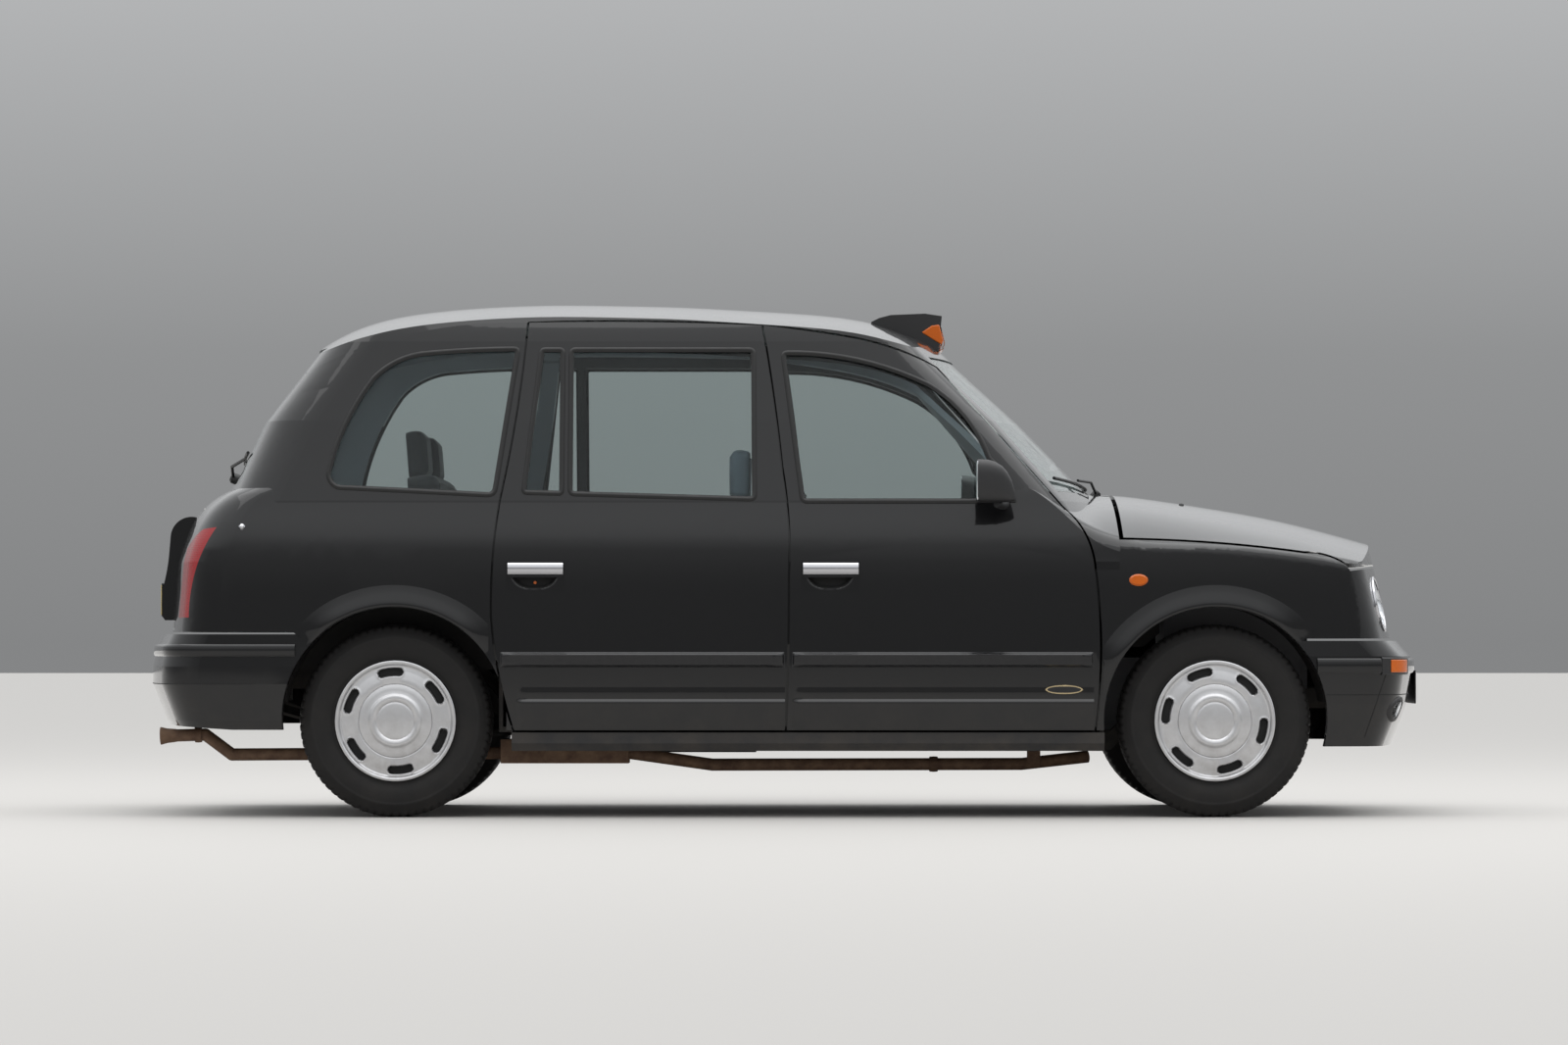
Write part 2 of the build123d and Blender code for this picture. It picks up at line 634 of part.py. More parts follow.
def front_panel():
    """The panel across the nose, round the grille and the headlamps."""
    outline = chain(WING_FRONT, (FAR, WING_FRONT[-1][1]), (FAR, 952), (2140, 885))
    half, low, high = GRILLE
    lamp_y, lamp_z, lamp_r = HEADLAMP
    lamps = [rod(lamp_r, (1900, y, lamp_z), (2400, y, lamp_z)) for y in (-lamp_y, lamp_y)]
    return shell(outline, 0, PANEL_T, y_to=DEEP).cut(block(1900, FAR, -half, half, low, high), *lamps)


def grille():
    """A frame with level slats, bowed with the nose."""
    half, low, high = GRILLE
    bars = (body_form(0) & block(1900, FAR, -half, half, low, high)) - body_form(DOOR_INSET)
    pitch = (high - low - 2 * GRILLE_RIM) / GRILLE_SLATS
    gaps = []
    for i in range(GRILLE_SLATS):
        z = low + GRILLE_RIM + i * pitch
        gaps.append(block(1900, FAR, -half + GRILLE_RIM, half - GRILLE_RIM, z + pitch * 0.35, z + pitch))
    return bars.cut(*gaps)


def headlamps():
    """Two round lamps, their faces flush with the panel."""
    lamp_y, lamp_z, lamp_r = HEADLAMP
    lamp = rod(lamp_r, (1900, -lamp_y, lamp_z), (2400, -lamp_y, lamp_z))
    return pair((body_form(0) & lamp) - body_form(FRAME_OUT))


def tail_panel():
    """The panel between the quarters, round the boot opening, with the boot lid's hinge arms."""
    low = REAR_BUMPER_TOP + GAP
    face = polygon([(-1900, low), (-FAR, low), (-FAR, 1300), (-1900, 1300)])
    half = BOOT_HALF_W + GAP
    panel = shell(face, 0, PANEL_T, -TAIL_HALF_W, TAIL_HALF_W).cut(
        rear_screen_cutter(), block(-FAR, -1900, -half, half, BOOT_LOW - GAP, BOOT_HIGH + GAP)
    )
    hx, hy, hz = BOOT_HINGE
    arm_face = polygon([(hx, hz + 5), (hx + 44, hz - 8), (hx + 44, hz + 45), (hx + 58, hz + 45),
                        (hx + 58, hz - 22), (hx, hz - 5)])
    arms, holes = [], []
    for y in (-hy, hy):
        arms += [across(arm_face, y - 9, y + 9), rod(EYE_R, (hx, y - 9, hz), (hx, y + 9, hz))]
        holes.append(rod(PIN_R + RUN_FIT, (hx, y - 20, hz), (hx, y + 20, hz)))
    return panel.fuse(*arms).cut(*holes)


def boot_lid():
    """The boot lid with its raised middle, its hinge pockets and its pins."""
    face = polygon([(-1900, BOOT_LOW), (-FAR, BOOT_LOW), (-FAR, BOOT_HIGH), (-1900, BOOT_HIGH)])
    lid = shell(face, 0, PANEL_T, -BOOT_HALF_W, BOOT_HALF_W)
    raised = across(chain(*BOOT_BULGE), -BULGE_HALF_W, BULGE_HALF_W) - body_form(LIP)
    hx, hy, hz = BOOT_HINGE
    pockets, pins = [], []
    for y in (-hy, hy):
        pockets.append(block(hx - EYE_R - 1, hx + 120, y - 14, y + 14, hz - 60, BOOT_HIGH + 20))
        pins.append(rod(PIN_R, (hx, y - 20, hz), (hx, y + 20, hz)))
    return lid.fuse(raised).cut(*pockets).fuse(*pins)


def tail_lamp():
    """The right-hand tail lamp, let into the corner of the quarter."""
    return (body_form(0) & tail_lamp_cutter()) - body_form(PANEL_T)


def bumper(levels, x_from, x_to, axle_x):
    """A bumper shell, cut back to the wheel arches."""
    outer, inner = [
        Solid.make_loft([plan_outline(*row, inset=inset) for row in levels], ruled=True)
        for inset in (0, BUMPER_T)
    ]
    arches = rod(ARCH_RADIUS, (axle_x, -DEEP, ARCH_Z), (axle_x, DEEP, ARCH_Z))
    return (outer & block(x_from, x_to, -DEEP, DEEP, 0, 1000)).cut(inner, arches)


def fixed_glass():
    """Windscreen, rear screen, quarter windows and the pane of the partition."""
    screen = (body_form(GLASS_OUT) & windscreen_cutter()) - body_form(LIP)
    rear = (body_form(GLASS_OUT) & rear_screen_cutter()) - body_form(LIP)
    quarter = shell(quarter_window(), GLASS_OUT, LIP)
    middle = PARTITION_X + PARTITION_T / 2
    pane = seen_along_x(middle - 3, middle + 3, *PARTITION_PANE)
    return solids_of([screen, rear, quarter, mirrored(quarter), pane])


def roof_sign():
    """The wedge-shaped sign on the roof's front edge, blank."""
    return across(polygon(SIGN_SIDE), -SIGN_HALF_W, SIGN_HALF_W) - body_form(0)


def spun(points, centre, out):
    """A ring or disc turned about a level axle from (radius, distance out) points."""
    wire = Wire([Edge.make_line((*a, 0), (*b, 0)) for a, b in zip(points, points[1:] + points[:1])])
    solid = Solid.revolve(Face(wire), 360, Axis((0, 0, 0), (0, 1, 0)))
    if out < 0:
        solid = solid.mirror(Plane.XZ)
    return solid.moved(Location(centre))


def tyre(axle_x, out):
    """A tyre as one closed ring."""
    return spun(TYRE_HALF + [(r, -o) for r, o in TYRE_HALF[::-1]], (axle_x, out * HALF_TRACK, AXLE_Z), out)


def wheel(axle_x, out, first_slot):
    """A steel wheel with a pressed cover: six slots, a groove and a raised middle."""
    centre = (axle_x, out * HALF_TRACK, AXLE_Z)
    slots = []
    for i in range(6):
        y0, y1 = sorted((out * 55, out * 120))
        slot = block(161, 185, y0, y1, -44, 44).rotate(Axis.Y, -(first_slot + 60 * i))
        slots.append(slot.moved(Location(centre)))
    return spun(RIM_SECTION, centre, out).fuse(spun(COVER_SECTION, centre, out)).cut(*slots)


def knuckle():
    """The right-hand steering knuckle: upright, spindle, pins and steering arm."""
    x, y, z = FRONT_AXLE_X, -KINGPIN_Y, AXLE_Z
    upright = block(x - 20, x + 20, y - 20, y + 20, z - 115, z + 115)
    flange = rod(42, (x, y - 20, z), (x, y - 32, z))
    spindle = rod(SPINDLE_R, (x, y - 20, z), (x, y - 115, z))
    pins = rod(BALL_R, (x, y, z - WISHBONE_DZ - 20), (x, y, z + WISHBONE_DZ + 20))
    arm = block(x - 135, x - 20, y - 8, y + 12, z - 60, z - 40)
    return joined(upright, flange, spindle, pins, arm)


def wishbone(z):
    """One right-hand wishbone at a height, from the knuckle's pin to its tower."""
    x, y = FRONT_AXLE_X, -KINGPIN_Y
    right = [(18, 0), (18, 97), (110, 235), (110, 263), (70, 263)]
    outline = [(x + dx, y + dy) for dx, dy in right + [(0, 140)] + [(-dx, dy) for dx, dy in right[::-1]]]
    edges = [Edge.make_line((*a, z - 10), (*b, z - 10)) for a, b in zip(outline, outline[1:] + outline[:1])]
    arms = Solid.extrude(Face(Wire(edges)), Vector(0, 0, 20))
    hole = rod(BALL_R + RUN_FIT, (x, y, z - 20), (x, y, z + 20))
    return arms.fuse(rod(22, (x, y, z - 10), (x, y, z + 10))) - hole


def front_suspension():
    """Crossmember, towers and four wishbones."""
    x = FRONT_AXLE_X
    parts = [block(x - 60, x + 60, -395, 395, 210, BODY_BOTTOM)]
    edge = FRONT_RAIL_Y + RAIL_W / 2
    for side in (-1, 1):
        y0, y1 = sorted((side * edge, side * 396))
        parts.append(block(x - 112, x + 112, y0, y1, 195, 490))
    for z in (AXLE_Z - WISHBONE_DZ, AXLE_Z + WISHBONE_DZ):
        arm = wishbone(z)
        parts += [arm, mirrored(arm)]
    return joined(*parts)


@cache
def rails():
    """The four lengths of the rails: low under the cabin, raised over the rear axle, narrow ahead."""
    made = []
    for side in (-1, 1):
        for line, middle in ((REAR_RAIL_LINE, RAIL_Y), (FRONT_RAIL_LINE, FRONT_RAIL_Y)):
            face = polygon(line + [(x, z + RAIL_H) for x, z in line[::-1]])
            made.append(across(face, side * middle - RAIL_W / 2, side * middle + RAIL_W / 2))
    return made


def chassis_rails():
    """The chassis rails, cut back to the bumpers."""
    return Compound(rails()).cut(front_bumper(), rear_bumper())


def crossmembers():
    """Crossmembers between the rails, outriggers to the sills and the brackets of the rear springs."""
    inner, outer = RAIL_Y - RAIL_W / 2, RAIL_Y + RAIL_W / 2
    front = FRONT_RAIL_Y - RAIL_W / 2
    parts = [block(x, x + 60, -inner, inner, z, z + RAIL_H) for x, z in CROSSMEMBERS]
    parts.append(block(1040, 1100, -outer, outer, RAIL_LOW, RAIL_LOW + RAIL_H))
    parts.append(block(2040, 2090, -front, front, RAIL_FRONT, RAIL_FRONT + RAIL_H))
    for x in OUTRIGGERS:
        for y0, y1 in ((-OUTRIGGER_Y, -outer), (-inner, inner), (outer, OUTRIGGER_Y)):
            parts.append(block(x, x + 50, y0, y1, RAIL_LOW + 20, RAIL_LOW + RAIL_H))
    for y0, y1 in ((-SPRING_Y - 30, -outer), (outer, SPRING_Y + 30)):
        parts.append(block(REAR_AXLE_X - 520, REAR_AXLE_X - 480, y0, y1, 400, 470))
    return solids_of(parts)


@cache
def front_bumper():
    """The front bumper with the apron under the grille."""
    return bumper(FRONT_BUMPER_LEVELS, 1600, FAR, FRONT_AXLE_X)


@cache
def rear_bumper():
    """The rear bumper, its lower edge rising towards the tail."""
    below = polygon([(-1500, 200), (-FAR, 200), (-FAR, 350), (-1933, 309), (-1500, 309)])
    below = across(below, -DEEP, DEEP)
    return bumper(REAR_BUMPER_LEVELS, -FAR, -1500, REAR_AXLE_X) - below


def liner(axle_x, y_from, y_to):
    """The upper half of a wheel housing."""
    ring = tube(LINER_R + LINER_T, LINER_R, (axle_x, y_from, ARCH_Z), (axle_x, y_to, ARCH_Z))
    return ring & block(axle_x - 500, axle_x + 500, -DEEP, DEEP, ARCH_Z + 60, 1000)


@cache
def wheel_housings():
    """Four wheel housings; the rear ones have an inner wall down to the boot floor."""
    outer = LINER_R + LINER_T
    wall = rod(outer, (REAR_AXLE_X, -HOUSING_Y - LINER_T, ARCH_Z), (REAR_AXLE_X, -HOUSING_Y, ARCH_Z))
    wall = wall & block(-2200, HEELBOARD_X, -DEEP, DEEP, BOOT_FLOOR_Z, 1000)
    rear = liner(REAR_AXLE_X, -900, -HOUSING_Y).fuse(wall)
    form = body_form(PANEL_T)
    bumpers = front_bumper(), rear_bumper()
    parts = [(part & form).cut(*bumpers) for part in (rear, liner(FRONT_AXLE_X, -900, -420))]
    return solids_of([pair(part) for part in parts])


def floor_pan():
    """The flat floor under the cabin."""
    plate = block(HEELBOARD_X, BULKHEAD_X, -740, 740, FLOOR_Z, FLOOR_Z + FLOOR_T)
    return (plate & body_form(PANEL_T)).cut(*rails())


def bulkhead():
    """The wall between the engine and the cabin."""
    wall = block(BULKHEAD_X, BULKHEAD_X + 14, -760, 760, FLOOR_Z, 1080)
    return (wall & body_form(PANEL_T)).cut(*wheel_housings().solids())


def boot_floor():
    """The heelboard under the bench and the floor of the boot."""
    top = BOOT_FLOOR_Z + FLOOR_T
    heel = block(HEELBOARD_X, HEELBOARD_X + 14, -740, 740, FLOOR_Z + FLOOR_T, top)
    floor = block(-2160, HEELBOARD_X, -HOUSING_Y, HOUSING_Y, BOOT_FLOOR_Z, top)
    shelves = [block(-2120, REAR_AXLE_X - 370, y0, y1, BOOT_FLOOR_Z, top)
               for y0, y1 in ((-900, -HOUSING_Y), (HOUSING_Y, 900))]
    made = joined(floor, heel, *shelves) & body_form(PANEL_T)
    return made.cut(*rails(), *wheel_housings().solids(), rear_bumper())


def sills():
    """The black sill strips under the doors."""
    points = [(-845, 235), (-700, 235), (-700, BODY_BOTTOM), (-864, BODY_BOTTOM), (-864, 262)]
    wire = Wire([Edge.make_line((-950, *a), (-950, *b)) for a, b in zip(points, points[1:] + points[:1])])
    strip = Solid.extrude(Face(wire), Vector(2082, 0, 0))
    return pair(strip - arch_cutter(FRONT_AXLE_X, ARCH_RADIUS))


def rear_axle():
    """Live axle with its differential, spindles and leaf springs."""
    x, z = REAR_AXLE_X, AXLE_Z
    parts = [
        rod(38, (x, -640, z), (x, 640, z)),
        Solid.make_sphere(115, Plane((x, 0, z))),
        rod(60, (x, 0, z), (x + 150, 0, z)),
    ]
    spring = side_face(
        arc_path([(x - 520, 400), (x, 292), (x + 430, BODY_BOTTOM)])
        + line_path([(x + 430, BODY_BOTTOM), (x + 430, BODY_BOTTOM - 10)])
        + arc_path([(x + 430, BODY_BOTTOM - 10), (x, 282), (x - 520, 390)])
        + line_path([(x - 520, 390), (x - 520, 400)])
    )
    for side in (-1, 1):
        parts.append(rod(60, (x, side * 640, z), (x, side * 652, z)))
        parts.append(rod(SPINDLE_R, (x, side * 640, z), (x, side * (HALF_TRACK + 50), z)))
        y = side * SPRING_Y
        parts += [across(spring, y - 30, y + 30), block(x - 50, x + 50, y - 34, y + 34, 274, z)]
    return joined(*parts)


def engine_block():
    """Engine and gearbox as one plain mass."""
    engine = block(1380, 1900, -230, 230, BODY_BOTTOM, 880)
    return engine.fuse(block(1150, 1380, -150, 150, BODY_BOTTOM, 560))


def exhaust():
    """Front pipe, silencer, tail pipe and a hanger."""
    y = EXHAUST_Y
    parts = [block(-1000, -545, y - 75, y + 85, 187, 272)]
    for start, end in zip(EXHAUST_PATH, EXHAUST_PATH[1:]):
        parts += [rod(EXHAUST_R, start, end), Solid.make_sphere(EXHAUST_R, Plane(end))]
    parts.append(block(-800, -780, y - 10, y + 10, 265, FLOOR_Z))
    return joined(*parts)


def fuel_tank():
    """The fuel tank under the floor, on the left."""
    return block(-800, -100, 470, 690, 205, FLOOR_Z)


def driver_seat():
    """Driver's seat: base, cushion, back and head restraint."""
    base = block(60, 460, -580, -200, FLOOR_Z + FLOOR_T, 500)
    cushion = block(30, 520, -610, -170, 500, 620)
    back = across(polygon([(30, 600), (150, 600), (70, 1160), (-20, 1160)]), -600, -180)
    posts = rod(9, (20, -450, 1100), (20, -450, 1200)).fuse(rod(9, (20, -330, 1100), (20, -330, 1200)))
    rest = block(-20, 60, -500, -280, 1190, 1330)
    return joined(base, cushion, back, posts, rest)


def rear_bench():
    """Rear bench: cushion, back and two head restraints between the wheel housings."""
    top = BOOT_FLOOR_Z + FLOOR_T
    base = block(HEELBOARD_X + 14, -780, -400, 400, FLOOR_Z + FLOOR_T, top)
    cushion = block(-1150, -730, -545, 545, top, top + 150)
    back = across(polygon([(-1270, top), (-1130, top), (-1230, 1200), (-1340, 1200)]), -545, 545)
    rests = [block(-1350, -1270, y - 150, y + 150, 1195, 1370) for y in (-330, 330)]
    return joined(base, cushion, back, *rests)


def jump_seats():
    """Two tip-up seats, folded against the partition."""
    x = PARTITION_X
    parts = []
    for y in (-330, 330):
        seat = block(x - 90, x, y - 215, y + 215, 560, 1010)
        rest = block(x - 100, x - 20, y - 170, y + 170, 1130, 1300)
        post = block(x - 70, x - 40, y - 60, y + 60, 1000, 1140)
        parts.append(joined(seat, rest, post))
    return solids_of(parts)


def partition():
    """The wall behind the driver, open where its pane sits."""
    wall = block(PARTITION_X, PARTITION_X + PARTITION_T, -800, 800, FLOOR_Z + FLOOR_T, 1700)
    pane = seen_along_x(PARTITION_X - 5, PARTITION_X + PARTITION_T + 5, *PARTITION_PANE)
    return (wall & body_form(FRAME_IN)) - pane


def dashboard():
    """The dashboard with the steering column."""
    face = polygon([(BULKHEAD_X, 760), (BULKHEAD_X, 1076), (1040, 1076), (860, 1030), (850, 800),
                    (930, 760)])
    axis = Plane(origin=STEER_CENTRE, z_dir=STEER_DIR)
    column = Solid.make_cylinder(32, 190, axis.offset(-250))
    bore = Solid.make_cylinder(SHAFT_R + RUN_FIT, 130, axis.offset(-SHAFT_L - 15))
    board = across(face, -760, 760) & body_form(FRAME_IN)
    return joined(board, column) - bore


def mirror_right():
    """The right-hand door mirror on its short arm."""
    housing = block(*MIRROR_BOX)
    housing = housing.fillet(28, housing.edges())
    arm = block(752, 800, -930, -800, 1108, 1140)
    return housing.fuse(arm) - body_form(0)


def steering_wheel():
    """The steering wheel with four spokes and its shaft."""
    parts = [Solid.make_torus(STEER_R, 15), Solid.make_cylinder(48, 50, Plane((0, 0, -35)))]
    parts.append(Solid.make_cylinder(SHAFT_R, SHAFT_L, Plane((0, 0, -SHAFT_L))))
    for angle in (30, 150, 210, 330):
        spoke = Solid.make_box(STEER_R, 34, 12, Plane((0, -17, -14)))
        parts.append(spoke.rotate(Axis.Z, angle))
    return joined(*parts).moved(Plane(origin=STEER_CENTRE, z_dir=STEER_DIR).location)


def pieces():
    """Every piece by name, each made when it is called."""
    front_outline, rear_outline = door_openings()
    front_windows, rear_windows = door_windows()
    right = {
        "front_door": lambda: side_door(front_outline, front_windows, FRONT_HINGE_X, FRONT_HANDLE_X)
        - block(*PILLAR_FOOT),
        "rear_door": lambda: side_door(rear_outline, rear_windows, REAR_HINGE_X, REAR_HANDLE_X),
        "front_door_glass": lambda: side_glass(front_windows),
        "rear_door_glass": lambda: side_glass(rear_windows),
        "knuckle": knuckle,
        "door_mirror": mirror_right,
    }
    both = {
        "side_frames": side_frame,
        "quarter_panels": quarter_panel,
        "front_wings": front_wing,
        "tail_lamps": tail_lamp,
    }
    middle = [roof_panel, windscreen_frame, bonnet, front_panel, grille, headlamps, tail_panel, boot_lid,
              front_bumper, rear_bumper, fixed_glass, roof_sign, chassis_rails, crossmembers, floor_pan,
              boot_floor, bulkhead, wheel_housings, sills, front_suspension, rear_axle, engine_block, exhaust,
              fuel_tank, driver_seat, rear_bench, jump_seats, partition, dashboard, steering_wheel]
    return right, both, middle


def save(shape, name):
    """Write one piece, or several pieces of one name, as a STEP file."""
    export_step(solids_of(shape), f"parts/{name}.step")


def main():
    """Make and write every piece."""
    os.makedirs("parts", exist_ok=True)
    right, both, middle = pieces()
    for name, make in right.items():
        shape = make()
        save(shape, name + "_right")
        save(mirrored(shape), name + "_left")
    for name, make in both.items():
        save(pair(make()), name)
    for make in middle:
        save(make(), make.__name__)
    for end, axle_x, first_slot in (("front", FRONT_AXLE_X, 108), ("rear", REAR_AXLE_X, 96)):
        for side, out in (("right", -1), ("left", 1)):
            save(wheel(axle_x, out, first_slot), f"{end}_wheel_{side}")
            save(tyre(axle_x, out), f"{end}_tyre_{side}")


if __name__ == "__main__":
    main()
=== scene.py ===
"""Finishes, trims, wheels, lamps and seats of the taxi cab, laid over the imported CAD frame.

Tables are in millimetres in the row frame: +X forward, -Y the driver's side, +Z up.
"""
import math

import bmesh
import bpy
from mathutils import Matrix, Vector
from mathutils.bvhtree import BVHTree


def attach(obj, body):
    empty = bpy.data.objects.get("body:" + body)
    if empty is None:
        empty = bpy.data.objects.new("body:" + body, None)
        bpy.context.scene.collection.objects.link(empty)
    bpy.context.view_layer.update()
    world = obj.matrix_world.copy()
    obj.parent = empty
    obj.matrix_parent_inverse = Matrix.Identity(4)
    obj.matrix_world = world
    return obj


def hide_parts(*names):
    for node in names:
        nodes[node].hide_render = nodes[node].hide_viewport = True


MM = 0.001
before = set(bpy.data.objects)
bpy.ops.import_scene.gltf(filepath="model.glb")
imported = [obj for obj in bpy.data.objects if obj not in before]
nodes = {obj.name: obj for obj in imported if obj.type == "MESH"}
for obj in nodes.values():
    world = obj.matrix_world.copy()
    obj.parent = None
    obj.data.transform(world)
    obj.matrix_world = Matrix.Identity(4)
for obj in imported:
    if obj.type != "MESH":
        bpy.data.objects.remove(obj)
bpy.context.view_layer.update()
scene = bpy.context.scene

FRONT_AXLE, REAR_AXLE, AXLE_Z = 1524, -1362, 340
HALF_TRACK = 717
SIDES = (("right", -1), ("left", 1))
FORWARD, LEFT, RIGHT, UP = (1, 0, 0), (0, 1, 0), (0, -1, 0), (0, 0, 1)

# Window outlines seen from the side: runs of arcs (three points each) and single corner points
FRONT_WINDOW = [[(3, 1639), (280, 1611), (515, 1527), (658, 1398), (728, 1265), (742, 1146),
                 (680, 1113)], [(72, 1113)]]
REAR_WINDOW = [[(-745, 1650)], [(-101, 1650)], [(-97, 1120)], [(-745, 1139)]]
QUARTER_LIGHT = [[(-849, 1650)], [(-775, 1650)], [(-775, 1140)], [(-909, 1144)]]
QUARTER_WINDOW = [[(-1012, 1134), (-1280, 1148), (-1543, 1161), (-1583, 1176), (-1595, 1217),
                   (-1532, 1400), (-1442, 1549), (-1366, 1606), (-1248, 1638), (-1090, 1649), (-933, 1653)]]


# Finishes

def finish(name, colour, rough=0.5, **inputs):
    """A plain finish. Other shader sockets are given with underscores for spaces."""
    made = bpy.data.materials.new(name)
    made.use_nodes = True
    sockets = made.node_tree.nodes["Principled BSDF"].inputs
    sockets["Base Color"].default_value = (*colour, 1)
    sockets["Roughness"].default_value = rough
    for socket, value in inputs.items():
        sockets[socket.replace("_", " ")].default_value = value
    made.diffuse_color = (*colour, 1)
    return made


def add(made, kind, **values):
    """A shader node of a kind, with some of its settings."""
    node = made.node_tree.nodes.new(f"ShaderNode{kind}")
    for key, value in values.items():
        if hasattr(node, key):
            setattr(node, key, value)
        else:
            node.inputs[key.replace("_", " ")].default_value = value
    return node


def link(made, source, output, target, socket):
    """Joins an output to an input, each given by name or number."""
    made.node_tree.links.new(source.outputs[output], target.inputs[socket])


def shader_of(made):
    """The shader of a finish."""
    return made.node_tree.nodes["Principled BSDF"]


def noise_in(made, scale, detail, roughness=0.5):
    """A noise texture laid in the object's own space."""
    noise = add(made, "TexNoise", Scale=scale, Detail=detail, Roughness=roughness)
    link(made, add(made, "TexCoord"), "Object", noise, "Vector")
    return noise


def bumped(made, texture, strength, distance=0.001):
    """Lets a texture raise the surface."""
    bump = add(made, "Bump", Strength=strength, Distance=distance)
    link(made, texture, "Fac", bump, "Height")
    link(made, bump, "Normal", shader_of(made), "Normal")
    return made


def grained(made, scale, strength, detail=3.0, distance=0.001):
    """Adds a fine bump, such as leather grain, orange peel or rough casting."""
    return bumped(made, noise_in(made, scale, detail), strength, distance)


def ribbed(made, ribs, strength, along="Y"):
    """Adds the moulded ribs of a lamp's lens, so many to the metre."""
    wave = add(made, "TexWave", Scale=math.pi / 10 * ribs, bands_direction=along)
    link(made, add(made, "TexCoord"), "Object", wave, "Vector")
    return bumped(made, wave, strength)


def worn(made, low, high, scale=40.0):
    """Lets the roughness wander between two values in fine patches."""
    rougher = add(made, "MapRange", From_Min=0.35, From_Max=0.7, To_Min=low, To_Max=high)
    link(made, noise_in(made, scale, 5.0, 0.6), "Fac", rougher, "Value")
    link(made, rougher, "Result", shader_of(made), "Roughness")
    return made


# A mix node's sockets for colours, by number, because sockets of other kinds have the same names
MIX_FACTOR, MIX_A, MIX_B, MIX_RESULT = 0, 6, 7, 2


def mixed_by_height(made, dust, top, bottom, most, scale=9.0, rough=None):
    """Mixes a second colour into the colour, from none at one height to the most at another, in patches.
    Mostly it is dust; low on the body paint it is also a painted reflection of the ground.
    """
    split = add(made, "SeparateXYZ")
    height = add(made, "MapRange", From_Min=top * MM, From_Max=bottom * MM)
    patch = add(made, "MapRange", From_Min=0.35, From_Max=0.75, To_Max=most)
    amount = add(made, "Math", operation="MULTIPLY")
    mix = add(made, "Mix", data_type="RGBA")
    mix.inputs[MIX_A].default_value = shader_of(made).inputs["Base Color"].default_value
    mix.inputs[MIX_B].default_value = (*dust, 1)
    link(made, add(made, "TexCoord"), "Object", split, "Vector")
    link(made, split, "Z", height, "Value")
    link(made, noise_in(made, scale, 6.0, 0.65), "Fac", patch, "Value")
    link(made, height, "Result", amount, 0)
    link(made, patch, "Result", amount, 1)
    link(made, amount, 0, mix, MIX_FACTOR)
    link(made, mix, MIX_RESULT, shader_of(made), "Base Color")
    if rough:
        rougher = add(made, "MapRange", To_Min=rough[0], To_Max=rough[1])
        link(made, amount, 0, rougher, "Value")
        link(made, rougher, "Result", shader_of(made), "Roughness")
    return made


DUST_AND_REFLECTION, ROAD_DUST, BRAKE_DUST = (0.11, 0.085, 0.06), (0.09, 0.075, 0.06), (0.26, 0.24, 0.22)
PALE_RUST = (0.24, 0.15, 0.09)
# Low on the body paint the brown mix is dust and also a painted reflection of the shaded ground near the
# car.
paint = mixed_by_height(finish("body_paint", (0.0045, 0.0045, 0.005), 0.3, Coat_Weight=1.0, Coat_Roughness=0.03,
                      Coat_IOR=1.44, Specular_IOR_Level=0.1), DUST_AND_REFLECTION, 520, 240, 0.10, rough=(0.3, 0.6))
grained(paint, 2.2, 0.10, 1.0, 0.01)
plastic = mixed_by_height(finish("black_plastic", (0.012, 0.012, 0.013), 0.42), DUST_AND_REFLECTION, 420, 200, 0.4)
gloss = worn(finish("gloss_black", (0.006, 0.006, 0.007), 0.14), 0.10, 0.24)
chrome = worn(finish("chrome", (0.52, 0.52, 0.54), 0.10, Metallic=1.0), 0.07, 0.18)
glass = finish("glass", (0.80, 0.87, 0.86), 0.0, Transmission_Weight=1.0, IOR=1.25)
ceramic = finish("dark_glass", (0.01, 0.012, 0.012), 0.05)
rubber = worn(finish("rubber", (0.010, 0.010, 0.010), 0.4, Specular_IOR_Level=0.4), 0.32, 0.52)
tyre_rubber = mixed_by_height(finish("tyre", (0.008, 0.0075, 0.0075), 0.6, Specular_IOR_Level=0.3), ROAD_DUST,
                     900, -300, 0.14, 14.0)
grained(tyre_rubber, 260.0, 0.2)
silver = mixed_by_height(finish("wheel_silver", (0.60, 0.60, 0.61), 0.30, Metallic=0.85), BRAKE_DUST,
                560, 100, 0.5, 26.0, rough=(0.28, 0.5))
# Near-black: painted shade in the wheel slots, the handle cups and the exhaust bore; also the seams and the
# air vents.
shade_and_seam_black = finish("painted_shade_and_seams", (0.004, 0.004, 0.004), 0.8)
red = ribbed(finish("lamp_red", (0.26, 0.003, 0.006), 0.12), 160, 0.25, "Z")
amber = ribbed(finish("lamp_amber", (0.55, 0.11, 0.006), 0.12), 160, 0.25)
clear = finish("lamp_clear", (0.95, 0.97, 0.98), 0.02, Transmission_Weight=1.0, IOR=1.2)
bowl = finish("lamp_bowl", (0.80, 0.81, 0.83), 0.12, Metallic=1.0)
rust = mixed_by_height(finish("rusty_steel", (0.10, 0.055, 0.035), 0.75, Metallic=0.25), PALE_RUST,
              600, 200, 0.9, 24.0)
under = mixed_by_height(finish("chassis_black", (0.014, 0.013, 0.013), 0.75), DUST_AND_REFLECTION, 700, 150, 0.5, 12.0)
metal = grained(finish("engine_metal", (0.16, 0.16, 0.165), 0.5, Metallic=0.7), 60.0, 0.3)
trim = grained(finish("cabin_trim", (0.055, 0.058, 0.065), 0.6), 300.0, 0.25)
pale_trim = grained(finish("pale_trim", (0.34, 0.38, 0.42), 0.7), 300.0, 0.2)
lining = grained(finish("headlining", (0.42, 0.44, 0.45), 0.9), 500.0, 0.3)
